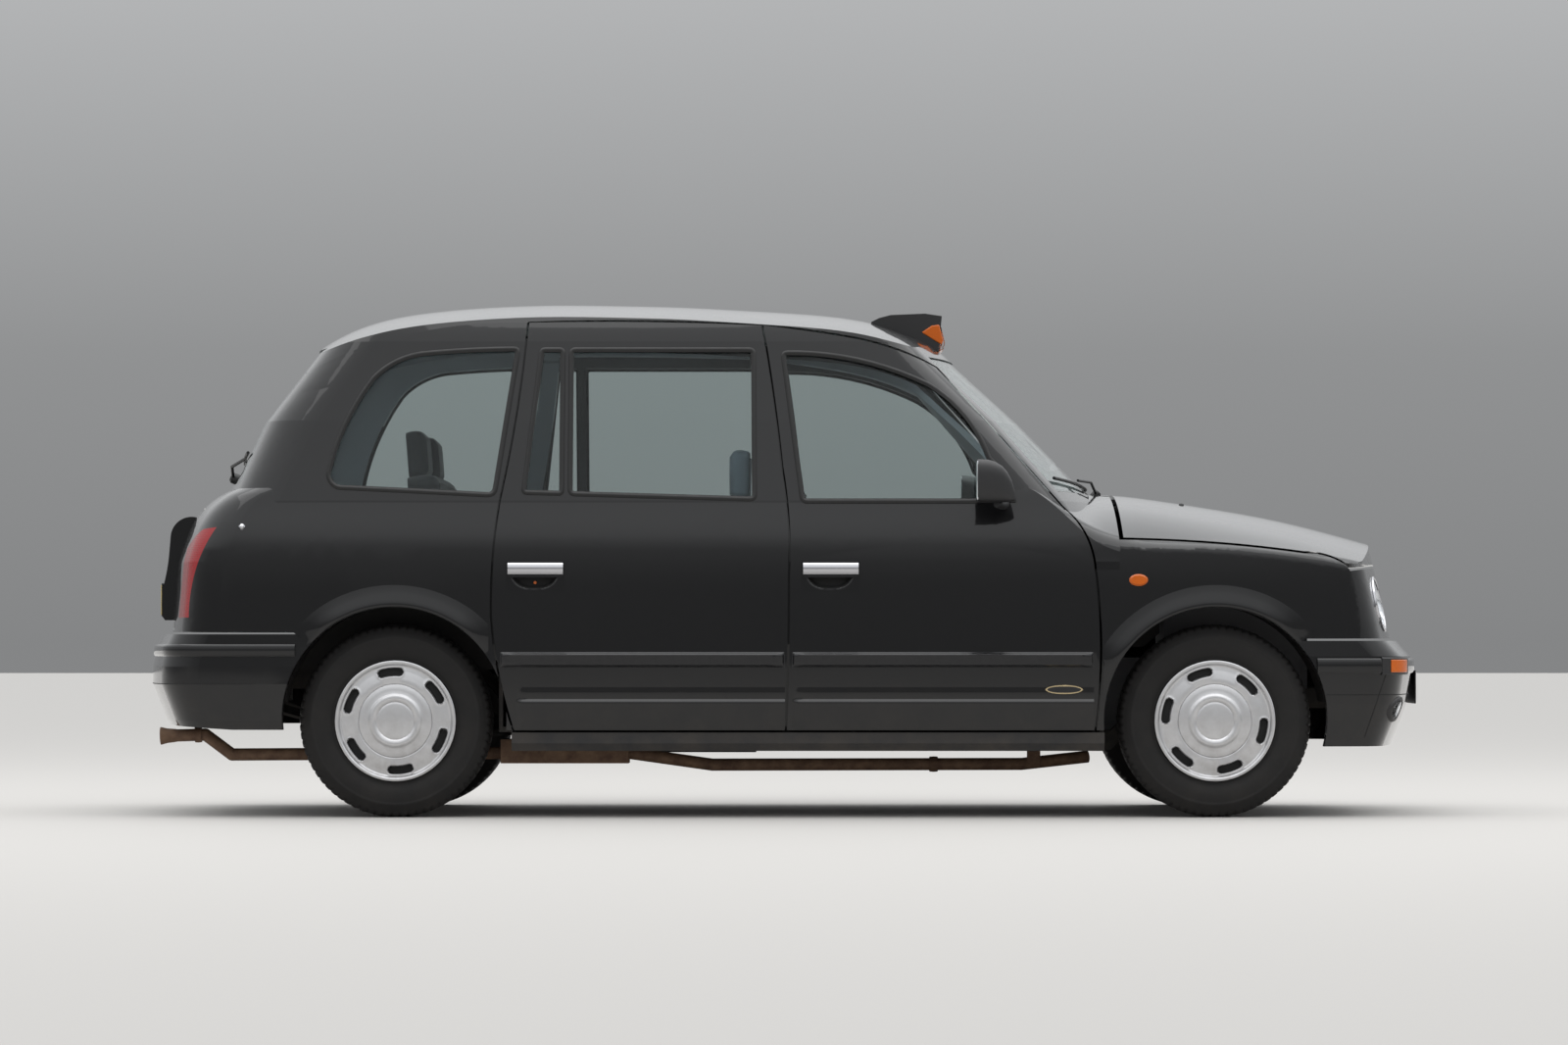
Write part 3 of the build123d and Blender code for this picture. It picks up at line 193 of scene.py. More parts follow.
cloth = grained(finish("seat_grey", (0.20, 0.25, 0.30), 0.85, Sheen_Weight=0.3), 420.0, 0.5)
dark_cloth = grained(finish("seat_dark", (0.022, 0.024, 0.028), 0.8, Sheen_Weight=0.3), 420.0, 0.5)
gold = worn(finish("badge_rim", (0.62, 0.50, 0.30), 0.25, Metallic=1.0), 0.2, 0.4)
white = worn(finish("plate_white", (0.80, 0.80, 0.78), 0.35), 0.28, 0.45)
yellow = worn(finish("plate_yellow", (0.78, 0.55, 0.06), 0.35), 0.28, 0.45)
mirror_glass = finish("mirror_glass", (0.86, 0.88, 0.90), 0.02, Metallic=1.0)
carpet = grained(finish("cabin_floor", (0.045, 0.045, 0.05), 0.9), 200.0, 0.4)

BY_SLOT = {
    "body_paint": paint, "black_plastic": plastic, "chrome": chrome, "glass": glass, "lamp_clear": clear,
    "lamp_red": red, "chassis_black": under, "engine_metal": metal, "rusty_steel": rust,
    "cabin_trim": trim, "seat_grey": cloth, "seat_dark": dark_cloth, "wheel_silver": silver,
    "tyre": tyre_rubber,
}
for node in nodes.values():
    names = [m.name.split(".")[0] for m in node.data.materials]
    for i, name in enumerate(names):
        if name in BY_SLOT:
            node.data.materials[i] = BY_SLOT[name]

LENGTHWISE = 0.25  # share of a ray's length along the car that counts when a face's side is chosen


def lined(name, inner, toward, least=0.5):
    """Gives the faces of a CAD node that look at the cabin's middle their own finish."""
    mesh = nodes[name].data
    mesh.materials.append(inner)
    last = len(mesh.materials) - 1
    middle = Vector(toward) * MM
    for face in mesh.polygons:
        ray = middle - face.center
        ray.x *= LENGTHWISE
        if face.normal.dot(ray.normalized()) > least:
            face.material_index = last


DOORS = [f"{end}_door_{side}" for side, _ in SIDES for end in ("front", "rear")]
for name in DOORS:
    lined(name, trim, (-200, 0, 900), 0.4)
for name in ("quarter_panels", "side_frames"):
    lined(name, pale_trim, (-400, 0, 1000))
lined("roof_panel", lining, (-500, 0, 1000))
lined("windscreen_frame", trim, (300, 0, 1000))
lined("floor_pan", carpet, (0, 0, 1200), 0.4)


# Rays onto the CAD surfaces

def tree_of(*names):
    """The named CAD nodes as one tree for rays."""
    corners, faces = [], []
    for name in names:
        mesh, base = nodes[name].data, len(corners)
        corners += [v.co.copy() for v in mesh.vertices]
        faces += [[base + i for i in face.vertices] for face in mesh.polygons]
    return BVHTree.FromPolygons(corners, faces)


SHELL = ("quarter_panels", "front_wings", "roof_panel", "windscreen_frame", "front_bumper", "rear_bumper",
         "front_panel", "bonnet")
side_tree = tree_of(*SHELL, "front_door_right", "rear_door_right", "tail_lamps")
pane_tree = tree_of("front_door_glass_right", "rear_door_glass_right", "fixed_glass")
body_tree = tree_of(*SHELL, "tail_panel", "boot_lid", "fixed_glass", "roof_sign", "grille")

# Where rays start, in millimetres from the car's middle or the ground
FROM_SIDE, FROM_END, FROM_ABOVE = 1500, 2600, 2500
PANE_STEP = 6  # how deep a pane lies in its panel
EDGE_STEP = 14  # a larger step in the skin is an edge and not a slope


def skin(x, z):
    """Y of the right-hand skin at a place seen from the side; panes count as level with it."""
    start, way = Vector((x, -FROM_SIDE, z)) * MM, Vector((0, 1, 0))
    panel = side_tree.ray_cast(start, way, 1.2)[0]
    pane = pane_tree.ray_cast(start, way, 1.2)[0]
    found = [p.y / MM for p in (panel,) if p] + [p.y / MM - PANE_STEP for p in (pane,) if p]
    return min(found) if found else None


def skin_point(x, z, reach=14):
    """(point, outward) on the right-hand skin, outward from four rays around."""
    ys = [skin(x + dx, z + dz) for dx, dz in ((-reach, 0), (reach, 0), (0, -reach), (0, reach))]
    y = skin(x, z)
    known = [v for v in (y, *ys) if v is not None]
    if not known:
        raise ValueError(f"no skin at {x}, {z}")
    y = sum(known) / len(known) if y is None else y
    ys = [y if v is None or abs(v - y) > EDGE_STEP else v for v in ys]
    along = Vector((2 * reach, ys[1] - ys[0], 0))
    up = Vector((0, ys[3] - ys[2], 2 * reach))
    outward = up.cross(along)
    if outward.y > 0:
        outward = -outward
    return Vector((x, y, z)), outward.normalized()


def ahead(y, z, sign=1):
    """X of the body's skin seen along X, from the front (1) or the rear (-1)."""
    hit = body_tree.ray_cast(Vector((sign * FROM_END, y, z)) * MM, Vector((-sign, 0, 0)), 2.5)[0]
    return hit.x / MM if hit else None


def above(x, y):
    """Z of the body's skin seen from above."""
    hit = body_tree.ray_cast(Vector((x, y, FROM_ABOVE)) * MM, Vector((0, 0, -1)), 3)[0]
    return hit.z / MM if hit else None


def on_side(point, sign):
    """A place on the right-hand side, or its mirror image on the left (1)."""
    return point.x, -sign * point.y, point.z


# Meshes

def build(name, corners, faces, made, body="root", sharp=35, replaces=(), indices=None, sign=-1):
    """A mesh piece, in millimetres, that rides a body; sign 1 makes its mirror image on the left."""
    mesh = bpy.data.meshes.new(name)
    mesh.from_pydata([(x * MM, -sign * y * MM, z * MM) for x, y, z in corners], [], faces)
    for item in made if isinstance(made, (list, tuple)) else [made]:
        mesh.materials.append(item)
    if indices:
        mesh.polygons.foreach_set("material_index", indices)
    work = bmesh.new()
    work.from_mesh(mesh)
    bmesh.ops.recalc_face_normals(work, faces=work.faces)
    work.to_mesh(mesh)
    work.free()
    mesh.shade_smooth()
    mesh.set_sharp_from_angle(angle=math.radians(sharp))
    obj = bpy.data.objects.new(name, mesh)
    scene.collection.objects.link(obj)
    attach(obj, body)
    if replaces:
        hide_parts(*replaces)
    return obj


def grid_faces(rows, columns, close_rows=False, close_columns=False):
    """Quads of a grid of corners, row by row."""
    faces = []
    for r in range(rows if close_rows else rows - 1):
        for c in range(columns if close_columns else columns - 1):
            a, b = r * columns + c, r * columns + (c + 1) % columns
            d, e = (r + 1) % rows * columns + c, (r + 1) % rows * columns + (c + 1) % columns
            faces.append((a, b, e, d))
    return faces


def tube_faces(rows, columns, closed=False):
    """Quads of a tube of rings, which may be closed into a hoop."""
    return grid_faces(rows, columns, closed, True)


def end_faces(rows, columns):
    """The two faces that close a tube's ends."""
    return [tuple(range(columns))[::-1], tuple((rows - 1) * columns + i for i in range(columns))]


def sweep(name, path, section, made, body="root", closed=False, **more):
    """A section of (across, out) points carried along (point, outward) pairs."""
    corners = []
    count = len(path)
    for i, (point, out) in enumerate(path):
        before = path[i - 1][0] if closed or i else point
        after = path[(i + 1) % count][0] if closed or i < count - 1 else point
        along = (after - before).normalized()
        across = along.cross(out).normalized()
        outward = across.cross(along).normalized()
        corners += [point + across * a + outward * o for a, o in section]
    faces = tube_faces(count, len(section), closed)
    if not closed:
        faces += end_faces(count, len(section))
    return build(name, corners, faces, made, body, **more)


def slab(name, outline, thickness, made, body="root", bevel=2.0, lift=0.0, **more):
    """A flat raised piece on the right-hand skin, from a closed (x, z) outline."""
    middle = sum((Vector((x, 0, z)) for x, z in outline), Vector()) / len(outline)
    corners = []
    for shrink, out in ((0, lift - 3), (0, lift + thickness - bevel), (bevel, lift + thickness)):
        for x, z in outline:
            inward = (middle - Vector((x, 0, z))).normalized() * shrink
            point, normal = skin_point(x + inward.x, z + inward.z)
            corners.append(point + normal * out)
    centre, normal = skin_point(middle.x, middle.z)
    corners.append(centre + normal * (lift + thickness))
    n = len(outline)
    faces = tube_faces(3, n)
    faces += [(2 * n + i, 2 * n + (i + 1) % n, 3 * n) for i in range(n)]
    return build(name, corners, faces, made, body, **more)


def circle(count):
    """(cosine, sine) of even steps round a circle."""
    return [(math.cos(2 * math.pi * i / count), math.sin(2 * math.pi * i / count)) for i in range(count)]


def lathe(name, profile, centre, axis, made, body="root", segments=24, **more):
    """A turned piece from (radius, along axis) points."""
    axis = Vector(axis).normalized()
    side = axis.orthogonal().normalized()
    other = axis.cross(side)
    corners = [Vector(centre) + axis * along + (side * c + other * s) * max(r, 0.01)
               for r, along in profile for c, s in circle(segments)]
    return build(name, corners, tube_faces(len(profile), segments), made, body, **more)


def heading(points, i):
    """The direction of a line of points at one of them."""
    return (points[min(i + 1, len(points) - 1)] - points[max(i - 1, 0)]).normalized()


NO_BAR = Vector((0, 0.31, 0.95))  # a direction that no bar runs in


def pipe(name, points, radius, made, body="root", segments=12, **more):
    """A round bar through points, its ends closed."""
    points = [Vector(p) for p in points]
    corners = []
    for i, point in enumerate(points):
        along = heading(points, i)
        side = along.cross(NO_BAR).normalized()
        other = along.cross(side)
        corners += [point + (side * c + other * s) * radius for c, s in circle(segments)]
    faces = tube_faces(len(points), segments) + end_faces(len(points), segments)
    return build(name, corners, faces, made, body, **more)


def bevelled(obj, width):
    """Rounds a piece's edges."""
    edges = obj.modifiers.new("edges", "BEVEL")
    edges.width, edges.segments = width * MM, 3
    return obj


def box(name, low, high, made, body="root", bevel=2.0, **more):
    """A box with bevelled edges."""
    x, y, z = [sorted(pair) for pair in zip(low, high)]
    corners = [(x[i], y[j], z[k]) for i in (0, 1) for j in (0, 1) for k in (0, 1)]
    faces = [(0, 1, 3, 2), (4, 6, 7, 5), (0, 4, 5, 1), (2, 3, 7, 6), (0, 2, 6, 4), (1, 5, 7, 3)]
    return bevelled(build(name, corners, faces, made, body, **more), bevel)


def prism(name, outline, half, made, body="root", bevel=3, **more):
    """An (x, z) outline carried across the car, the same to both sides."""
    n = len(outline)
    corners = [(x, y, z) for y in (-half, half) for x, z in outline]
    faces = [tuple(range(n)), tuple(n + i for i in range(n))[::-1]]
    faces += [(i, (i + 1) % n, n + (i + 1) % n, n + i) for i in range(n)]
    return bevelled(build(name, corners, faces, made, body, **more), bevel)


def arc_points(a, b, c, steps=10):
    """Points of the arc through three points, without the last."""
    ax, az, bx, bz, cx, cz = *a, *b, *c
    d = 2 * (ax * (bz - cz) + bx * (cz - az) + cx * (az - bz))
    if abs(d) < 1e-3:
        return [(ax + (cx - ax) * i / steps, az + (cz - az) * i / steps) for i in range(steps)]
    aa, bb, cc = (x * x + z * z for x, z in (a, b, c))
    ux = (aa * (bz - cz) + bb * (cz - az) + cc * (az - bz)) / d
    uz = (aa * (cx - bx) + bb * (ax - cx) + cc * (bx - ax)) / d
    start, middle, end = (math.atan2(z - uz, x - ux) for x, z in (a, b, c))
    turn = (end - start) % (2 * math.pi)
    if (middle - start) % (2 * math.pi) > turn:
        turn -= 2 * math.pi
    r = math.hypot(ax - ux, az - uz)
    return [(ux + r * math.cos(start + turn * i / steps), uz + r * math.sin(start + turn * i / steps))
            for i in range(steps)]


def round_off(points, i, radius):
    """The points of one rounded corner of a closed outline."""
    here = Vector(points[i])
    before, after = Vector(points[i - 1]) - here, Vector(points[(i + 1) % len(points)]) - here
    cut = min(radius, before.length / 2.1, after.length / 2.1)
    a, b = here + before.normalized() * cut, here + after.normalized() * cut
    return [tuple(a * (1 - t) ** 2 + here * 2 * t * (1 - t) + b * t**2) for t in (0, 0.25, 0.5, 0.75, 1)]


def rounded(points, radius):
    """A closed outline with its corners rounded."""
    return [place for i in range(len(points)) for place in round_off(points, i, radius)]


DIVISION = 40  # longest straight stretch of an outline that follows the skin


def outline_of(runs, corner):
    """A closed outline from runs of arcs and corner points, with its straight sides divided."""
    points, sharp = [], []
    for run in runs:
        for i in range(0, len(run) - 2, 2):
            arc = arc_points(*run[i : i + 3])
            points += arc
            sharp += [i == 0] + [False] * (len(arc) - 1)
        points.append(run[-1])
        sharp.append(True)
    made = []
    for i, point in enumerate(points):
        made += round_off(points, i, corner) if sharp[i] else [point]
    divided = []
    for a, b in zip(made, made[1:] + made[:1]):
        steps = max(1, round(math.dist(a, b) / DIVISION))
        divided += [tuple(p + (q - p) * k / steps for p, q in zip(a, b)) for k in range(steps)]
    return divided


def ellipse(x, z, half_x, half_z, steps=40):
    """An upright oval outline."""
    return [(x + half_x * c, z + half_z * s) for c, s in circle(steps)]


def clamped(value, low, high):
    """The value, kept between two others."""
    return max(min(value, high), low)


def read_off(table, at):
    """The value at a place of a (place, value) table, straight between its rows; None beyond them."""
    for (p0, v0), (p1, v1) in zip(table, table[1:]):
        if p0 <= at <= p1 and p1 > p0:
            return v0 + (v1 - v0) * (at - p0) / (p1 - p0)
    return None


# Camera, floor and light

CAMERA_PLACE, LENS, SENSOR, SHIFT = (0.040, -20.907, 0.621), 131.085, 36, (-0.00606, 0.0756)
FAR, FLOOR_HALF = 500, 90  # metres
camera = bpy.data.objects.new("camera", bpy.data.cameras.new("camera"))
camera.location = CAMERA_PLACE
camera.rotation_euler = (math.pi / 2, 0, 0)
camera.data.lens, camera.data.sensor_width, camera.data.clip_end = LENS, SENSOR, FAR
camera.data.shift_x, camera.data.shift_y = SHIFT
scene.collection.objects.link(camera)
scene.camera = camera

ground = bpy.data.meshes.new("studio_floor")
corners = [(x * FLOOR_HALF, y * FLOOR_HALF, 0) for x, y in ((-1, -1), (1, -1), (1, 1), (-1, 1))]
ground.from_pydata(corners, [], [(0, 1, 2, 3)])
ground.materials.append(finish("floor", (0.50, 0.485, 0.465), 0.85))
floor = bpy.data.objects.new("studio_floor", ground)
scene.collection.objects.link(floor)

# Brightness of the studio's walls by height, from the level of the floor (0) to straight up (1)
STOPS = [(0.0, 0.24), (0.05, 0.29), (0.16, 0.60), (0.40, 1.1), (1.0, 1.5)]
WALL = (0.97, 0.985, 1)
world = bpy.data.worlds.new("studio")
scene.world = world
world.use_nodes = True
split = add(world, "SeparateXYZ")
ramp = add(world, "ValToRGB")
while len(ramp.color_ramp.elements) < len(STOPS):
    ramp.color_ramp.elements.new(0.5)
for element, (at, level) in zip(ramp.color_ramp.elements, STOPS):
    element.position = at
    element.color = (*(level * part for part in WALL), 1)
link(world, add(world, "TexCoord"), "Generated", split, 0)
link(world, split, "Z", ramp, "Fac")
link(world, ramp, "Color", world.node_tree.nodes["Background"], "Color")

overhead = bpy.data.lights.new("overhead", "AREA")
overhead.shape, overhead.size, overhead.size_y, overhead.energy = "RECTANGLE", 16, 10, 560
soft_light = bpy.data.objects.new("overhead", overhead)
soft_light.location = (0, -0.5, 9.0)
soft_light.rotation_euler = (Vector() - soft_light.location).to_track_quat("-Z", "Y").to_euler()
scene.collection.objects.link(soft_light)
scene.view_settings.view_transform = "Standard"


# Smooth light along the body's sides, which the CAD makes of level bands

# (height, how far the side's outward direction leans up there)
SIDE_SLOPE = [(240, -0.09), (330, -0.055), (430, -0.025), (515, -0.002), (600, 0.002), (700, 0.006),
              (800, 0.014), (880, 0.035), (945, 0.062)]
# The least share of Y in the normal of a side's outer face, how the change blends in, and the least Y
SIDEWAYS, BLEND, OUTER = 0.55, 0.3, 800


def smooth_sides(name):
    """Turns the shading normals of a panel's outer side so that light runs smoothly over it."""
    mesh = nodes[name].data
    turned = []
    for corner, given in zip(mesh.loops, mesh.corner_normals):
        normal, place = given.vector.copy(), mesh.vertices[corner.vertex_index].co
        slope = read_off(SIDE_SLOPE, place.z / MM)
        faces_out = abs(normal.y) > SIDEWAYS and normal.y * place.y > 0 and abs(place.y) > OUTER * MM
        if slope is not None and faces_out:
            weight = min((abs(normal.y) - SIDEWAYS) / BLEND, 1)
            lean = normal.z + (slope * math.hypot(normal.x, normal.y) - normal.z) * weight
            normal = Vector((normal.x, normal.y, lean)).normalized()
        turned.append(normal)
    mesh.normals_split_custom_set(turned)


for name in (*DOORS, "quarter_panels", "front_wings"):
    smooth_sides(name)


# Wheels

# The cover and the rim: (radius, distance out from the middle of the track)
COVER = [(0, 94), (58, 94), (63, 93), (66, 92), (70, 95.5), (76, 98), (86, 98.3), (90, 96.5), (94, 92),
         (98, 90.5), (110, 89.5), (126, 87.5), (128, 86.5), (130, 84), (132, 85.5), (134, 86), (150, 84),
         (165, 81.5), (178, 79), (190, 77.5), (195, 78.5), (198, 83), (201, 88), (205, 90.2), (209, 90.5),
         (212.5, 88), (213.5, 84)]
RIM = [(213.5, 84), (213.5, 76), (212, 70), (205, 64), (199, 60), (199, -66), (205, -70), (214, -74),
       (214, -80), (205, -80), (193, -74), (190, -60), (186, 20), (150, 34), (70, 30), (60, 10), (22, 10)]
COVER_R = COVER[-1][0]
SLOTS, SLOT_R, SLOT_HALF, SLOT_RISE, SLOT_CORNER = 6, 173, 44, 14, 12
# SHADE_FROM: how far inside a slot's outline the painted shade starts, in millimetres
SLOT_DEPTH, SLOT_LIP, SHADE_FROM = 15, 1.6, 0.6
ROUND = 288  # steps round a wheel


def slot_inside(r, angle, first):
    """How far inside a slot's rounded outline a place is: positive inside, in millimetres."""
    best = -math.inf
    for k in range(SLOTS):
        turn = (angle - math.radians(first + 360 / SLOTS * k) + math.pi) % (2 * math.pi) - math.pi
        dx, dz = abs(turn * SLOT_R) - SLOT_HALF + SLOT_CORNER, abs(r - SLOT_R) - SLOT_RISE + SLOT_CORNER
        outside = math.hypot(max(dx, 0), max(dz, 0)) + min(max(dx, dz), 0) - SLOT_CORNER
        best = max(best, -outside)
    return best


def on_wheel(axle_x, sign, r, out, angle):
    """A place at a radius, a distance out and an angle on the wheel of an axle."""
    return axle_x + r * math.cos(angle), sign * (HALF_TRACK + out), AXLE_Z + r * math.sin(angle)


def wheel(end, side, sign, axle_x, first):
    """A silver wheel with its pressed cover, the floors of its slots painted near-black as shade."""
    radii = sorted({r for r, _ in COVER if r < COVER_R} | {SLOT_R - 20 + 2.6 * k for k in range(16)})
    step = 2 * math.pi / ROUND
    corners = []
    for r in radii:
        for i in range(ROUND):
            inside = slot_inside(r, step * i, first)
            sink = SLOT_DEPTH * clamped((inside + 1.5) / 5, 0, 1)
            lip = SLOT_LIP * math.exp(-((inside + 4.5) / 2.5) ** 2)
            corners.append(on_wheel(axle_x, sign, r, read_off(COVER, r) - sink + lip, step * i))
    faces = tube_faces(len(radii), ROUND)
    # Faces deep enough in a slot are painted near-black: painted shade in the slot's opening.
    indices = [int(slot_inside((low + high) / 2, step * (i + 0.5), first) > SHADE_FROM)
               for low, high in zip(radii, radii[1:]) for i in range(ROUND)]
    base, coarse = len(corners), ROUND // 2
    corners += [on_wheel(axle_x, sign, r, out, 2 * step * i) for r, out in RIM for i in range(coarse)]
    rim_faces = [tuple(base + i for i in face) for face in tube_faces(len(RIM), coarse)]
    body = f"{end}_wheel_{side}"
    build(f"{end}_wheel_cover_{side}", corners, faces + rim_faces, [silver, shade_and_seam_black], body, replaces=[body],
          indices=indices + [0] * len(rim_faces), sharp=50)


# The tyre's side, (radius, distance out), and its tread, whose ribs of kind 1 are cut across
TYRE_SIDE = [(205, 62), (212, 74), (216, 77.5), (222, 77.5), (226, 80), (232, 81.5), (240, 84),
             (252, 87), (268, 88.5), (284, 88), (290, 87.6), (293, 88.6), (297, 88.2), (300, 86.6),
             (308, 84), (315, 80), (321, 77)]
TREAD = [(327, 75, 1), (333, 70, 1), (337, 63, 1), (339, 56, 1), (339.6, 47, 1), (339.6, 44, 1),
         (333, 43, 0), (333, 38, 0), (339.8, 37, 1), (340, 28, 1), (340, 19, 1), (340, 18, 1),
         (333, 17, 0), (333, 12, 0), (340, 11, 2), (340, 0, 2)]
CUT, SLANT = 5.5, 0.03  # depth of the cuts across the ribs, and their slant in steps for each millimetre


def tyre(end, side, sign, axle_x):
    """A road tyre: ribbed side walls, grooves round it and blocks across it."""
    section = [(r, o, 0) for r, o in TYRE_SIDE] + TREAD
    section += [(r, -o, kind) for r, o, kind in section[:-1][::-1]]
    corners = []
    for r, out, kind in section:
        for i in range(ROUND):
            cut = CUT if kind == 1 and (i + (0 if out > 0 else 2)) % 4 == 0 else 0
            corners.append(on_wheel(axle_x, sign, r - cut, out, 2 * math.pi * (i + SLANT * out) / ROUND))
    build(f"{end}_road_tyre_{side}", corners, tube_faces(len(section), ROUND), tyre_rubber,
          f"{end}_wheel_{side}", replaces=[f"{end}_tyre_{side}"], sharp=40)


for side, sign in SIDES:
    for end, axle_x, first in (("front", FRONT_AXLE, 108), ("rear", REAR_AXLE, 96)):
        wheel(end, side, sign, axle_x, first)
        tyre(end, side, sign, axle_x)


# Window seals and side trims

SEAL = [(-8, -5), (-9, 2), (-6, 5), (-1, 6.5), (3, 5.5), (6, 3), (9, 2.5), (9, -5)]
for side, sign in SIDES:
    for name, runs, corner, body in (
        ("front_window", FRONT_WINDOW, 16, f"front_door_{side}"),
        ("rear_window", REAR_WINDOW, 16, f"rear_door_{side}"),
        ("quarter_light", QUARTER_LIGHT, 12, f"rear_door_{side}"),
        ("quarter_window", QUARTER_WINDOW, 30, "root"),
    ):
        path = [skin_point(x, z) for x, z in outline_of(runs, corner)]
        sweep(f"{name}_seal_{side}", path, SEAL, rubber, body, closed=True, sign=sign)


# Raised and sunk parts of the body's sides

def relief(name, xs, zs, height, made, body, base=skin_point, **more):
    """A patch on the right-hand skin; height(x, z) is how far it stands off."""
    corners = []
    for z in zs:
        for x in xs:
            point, normal = base(x, z)
            corners.append(point + normal * height(x, z))
    return build(name, corners, grid_faces(len(zs), len(xs)), made, body, **more)


def spread(low, high, step):
    """Even stations from low to high."""
    count = max(2, round((high - low) / step))
    return [low + (high - low) * i / count for i in range(count + 1)]


def ramp_up(distance, width):
    """0 at a distance of 0 or less, 1 at the width, eased between."""
    t = clamped(distance / width, 0, 1)
    return t * t * (3 - 2 * t)


MOULDING_ZS = [528, 530, 533, 538, 546, 556, 566, 573, 578, 581, 583]
CREASE_ZS = [314, 330, 350, 370, 390, 402, 408, 411, 414, 418, 424, 432, 446, 462, 478]
CREASE_Z = 418
for side, sign in SIDES:
    for end, x0, x1, low_x in (("front", 34, 1094, 34), ("rear", -990, 10, -935)):
        body = f"{end}_door_{side}"
        ends = {x + way * step for x, way in ((x0, 1), (x1, -1)) for step in (0, 2, 5, 9, 14)}

        def moulding(x, z, low=x0, high=x1):
            in_x, in_z = min(x - low, high - x), min(z - MOULDING_ZS[0], MOULDING_ZS[-1] - z)
            return -0.5 + 11.5 * min(ramp_up(in_x, 14), ramp_up(in_z, 9))
        xs = sorted(ends | set(spread(x0, x1, 45)))
        relief(f"{end}_door_moulding_{side}", xs, MOULDING_ZS, moulding, gloss, body, sign=sign)

        def lower(x, z, start=low_x):
            rise = 9 * ramp_up(CREASE_Z - z, 10) + 2.5 * ramp_up(CREASE_ZS[-1] - z, 55) - 0.4
            return rise * ramp_up(x - start, 24) - 0.3
        xs = sorted({low_x + 6, low_x + 14, low_x + 24} | set(spread(low_x, x1, 45)))
        relief(f"{end}_door_crease_{side}", xs, CREASE_ZS, lower, paint, body, sign=sign)

# A wheel arch's swelling: (radius, distance off the skin)
FLARE = [(396, -8), (396, 9), (398, 12), (403, 13), (412, 12), (424, 9.5), (438, 6), (452, 3), (466, 1),
         (476, -0.5)]
ARCH_Z, ON_SKIN = 345, 403  # height of an arch's middle, and the least radius where there is skin around


def flare(end, side, sign, axle_x, start, stop, low_x, high_x):
    """The soft swelling of a panel along its wheel arch, from one angle to another."""
    corners, steps = [], 72
    for r, out in FLARE:
        for i in range(steps + 1):
            a = math.radians(start + (stop - start) * i / steps)
            fade = min(ramp_up(i, 15), ramp_up(steps - i, 15))
            far = max(r, ON_SKIN)
            x, skin_x = [clamped(axle_x + v * math.cos(a), low_x, high_x) for v in (r, far)]
            point, normal = skin_point(skin_x, ARCH_Z + far * math.sin(a), 8)
            point.x, point.z = x, ARCH_Z + r * math.sin(a)
            corners.append(point + normal * (out * fade if out > 0 else out))
    build(f"{end}_arch_flare_{side}", corners, grid_faces(len(FLARE), steps + 1), paint, sharp=50,
          sign=sign)


for side, sign in SIDES:
    flare("rear", side, sign, REAR_AXLE, 36, 139, -1900, -1030)
    flare("front", side, sign, FRONT_AXLE, 42, 168, 1128, 1990)


# Liners behind the front wheels

LINER = [(1222, 600), (1288, 600), (1345, 650), (1345, 738), (1222, 738)]
for side, sign in SIDES:
    corners = [(x, sign * y, z) for y in (538, 543) for x, z in LINER]
    faces = [(0, 1, 2, 3, 4), (9, 8, 7, 6, 5)]
    faces += [(i, (i + 1) % 5, 5 + (i + 1) % 5, 5 + i) for i in range(5)]
    build(f"front_arch_liner_{side}", corners, faces, under)


# Door handles, locks, badge and side repeaters

def flat_base(x0, x1, z0, z1):
    """A skin_point for a small area, from the skin at its four corners."""
    known = {(x, z): skin_point(x, z) for x in (x0, x1) for z in (z0, z1)}

    def at(x, z):
        u, v = (x - x0) / (x1 - x0), (z - z0) / (z1 - z0)
        y = sum(known[c][0].y * w for c, w in (((x0, z0), (1 - u) * (1 - v)), ((x1, z0), u * (1 - v)),
                                               ((x0, z1), (1 - u) * v), ((x1, z1), u * v)))
        return Vector((x, y, z)), known[(x0, z0)][1]
    return at


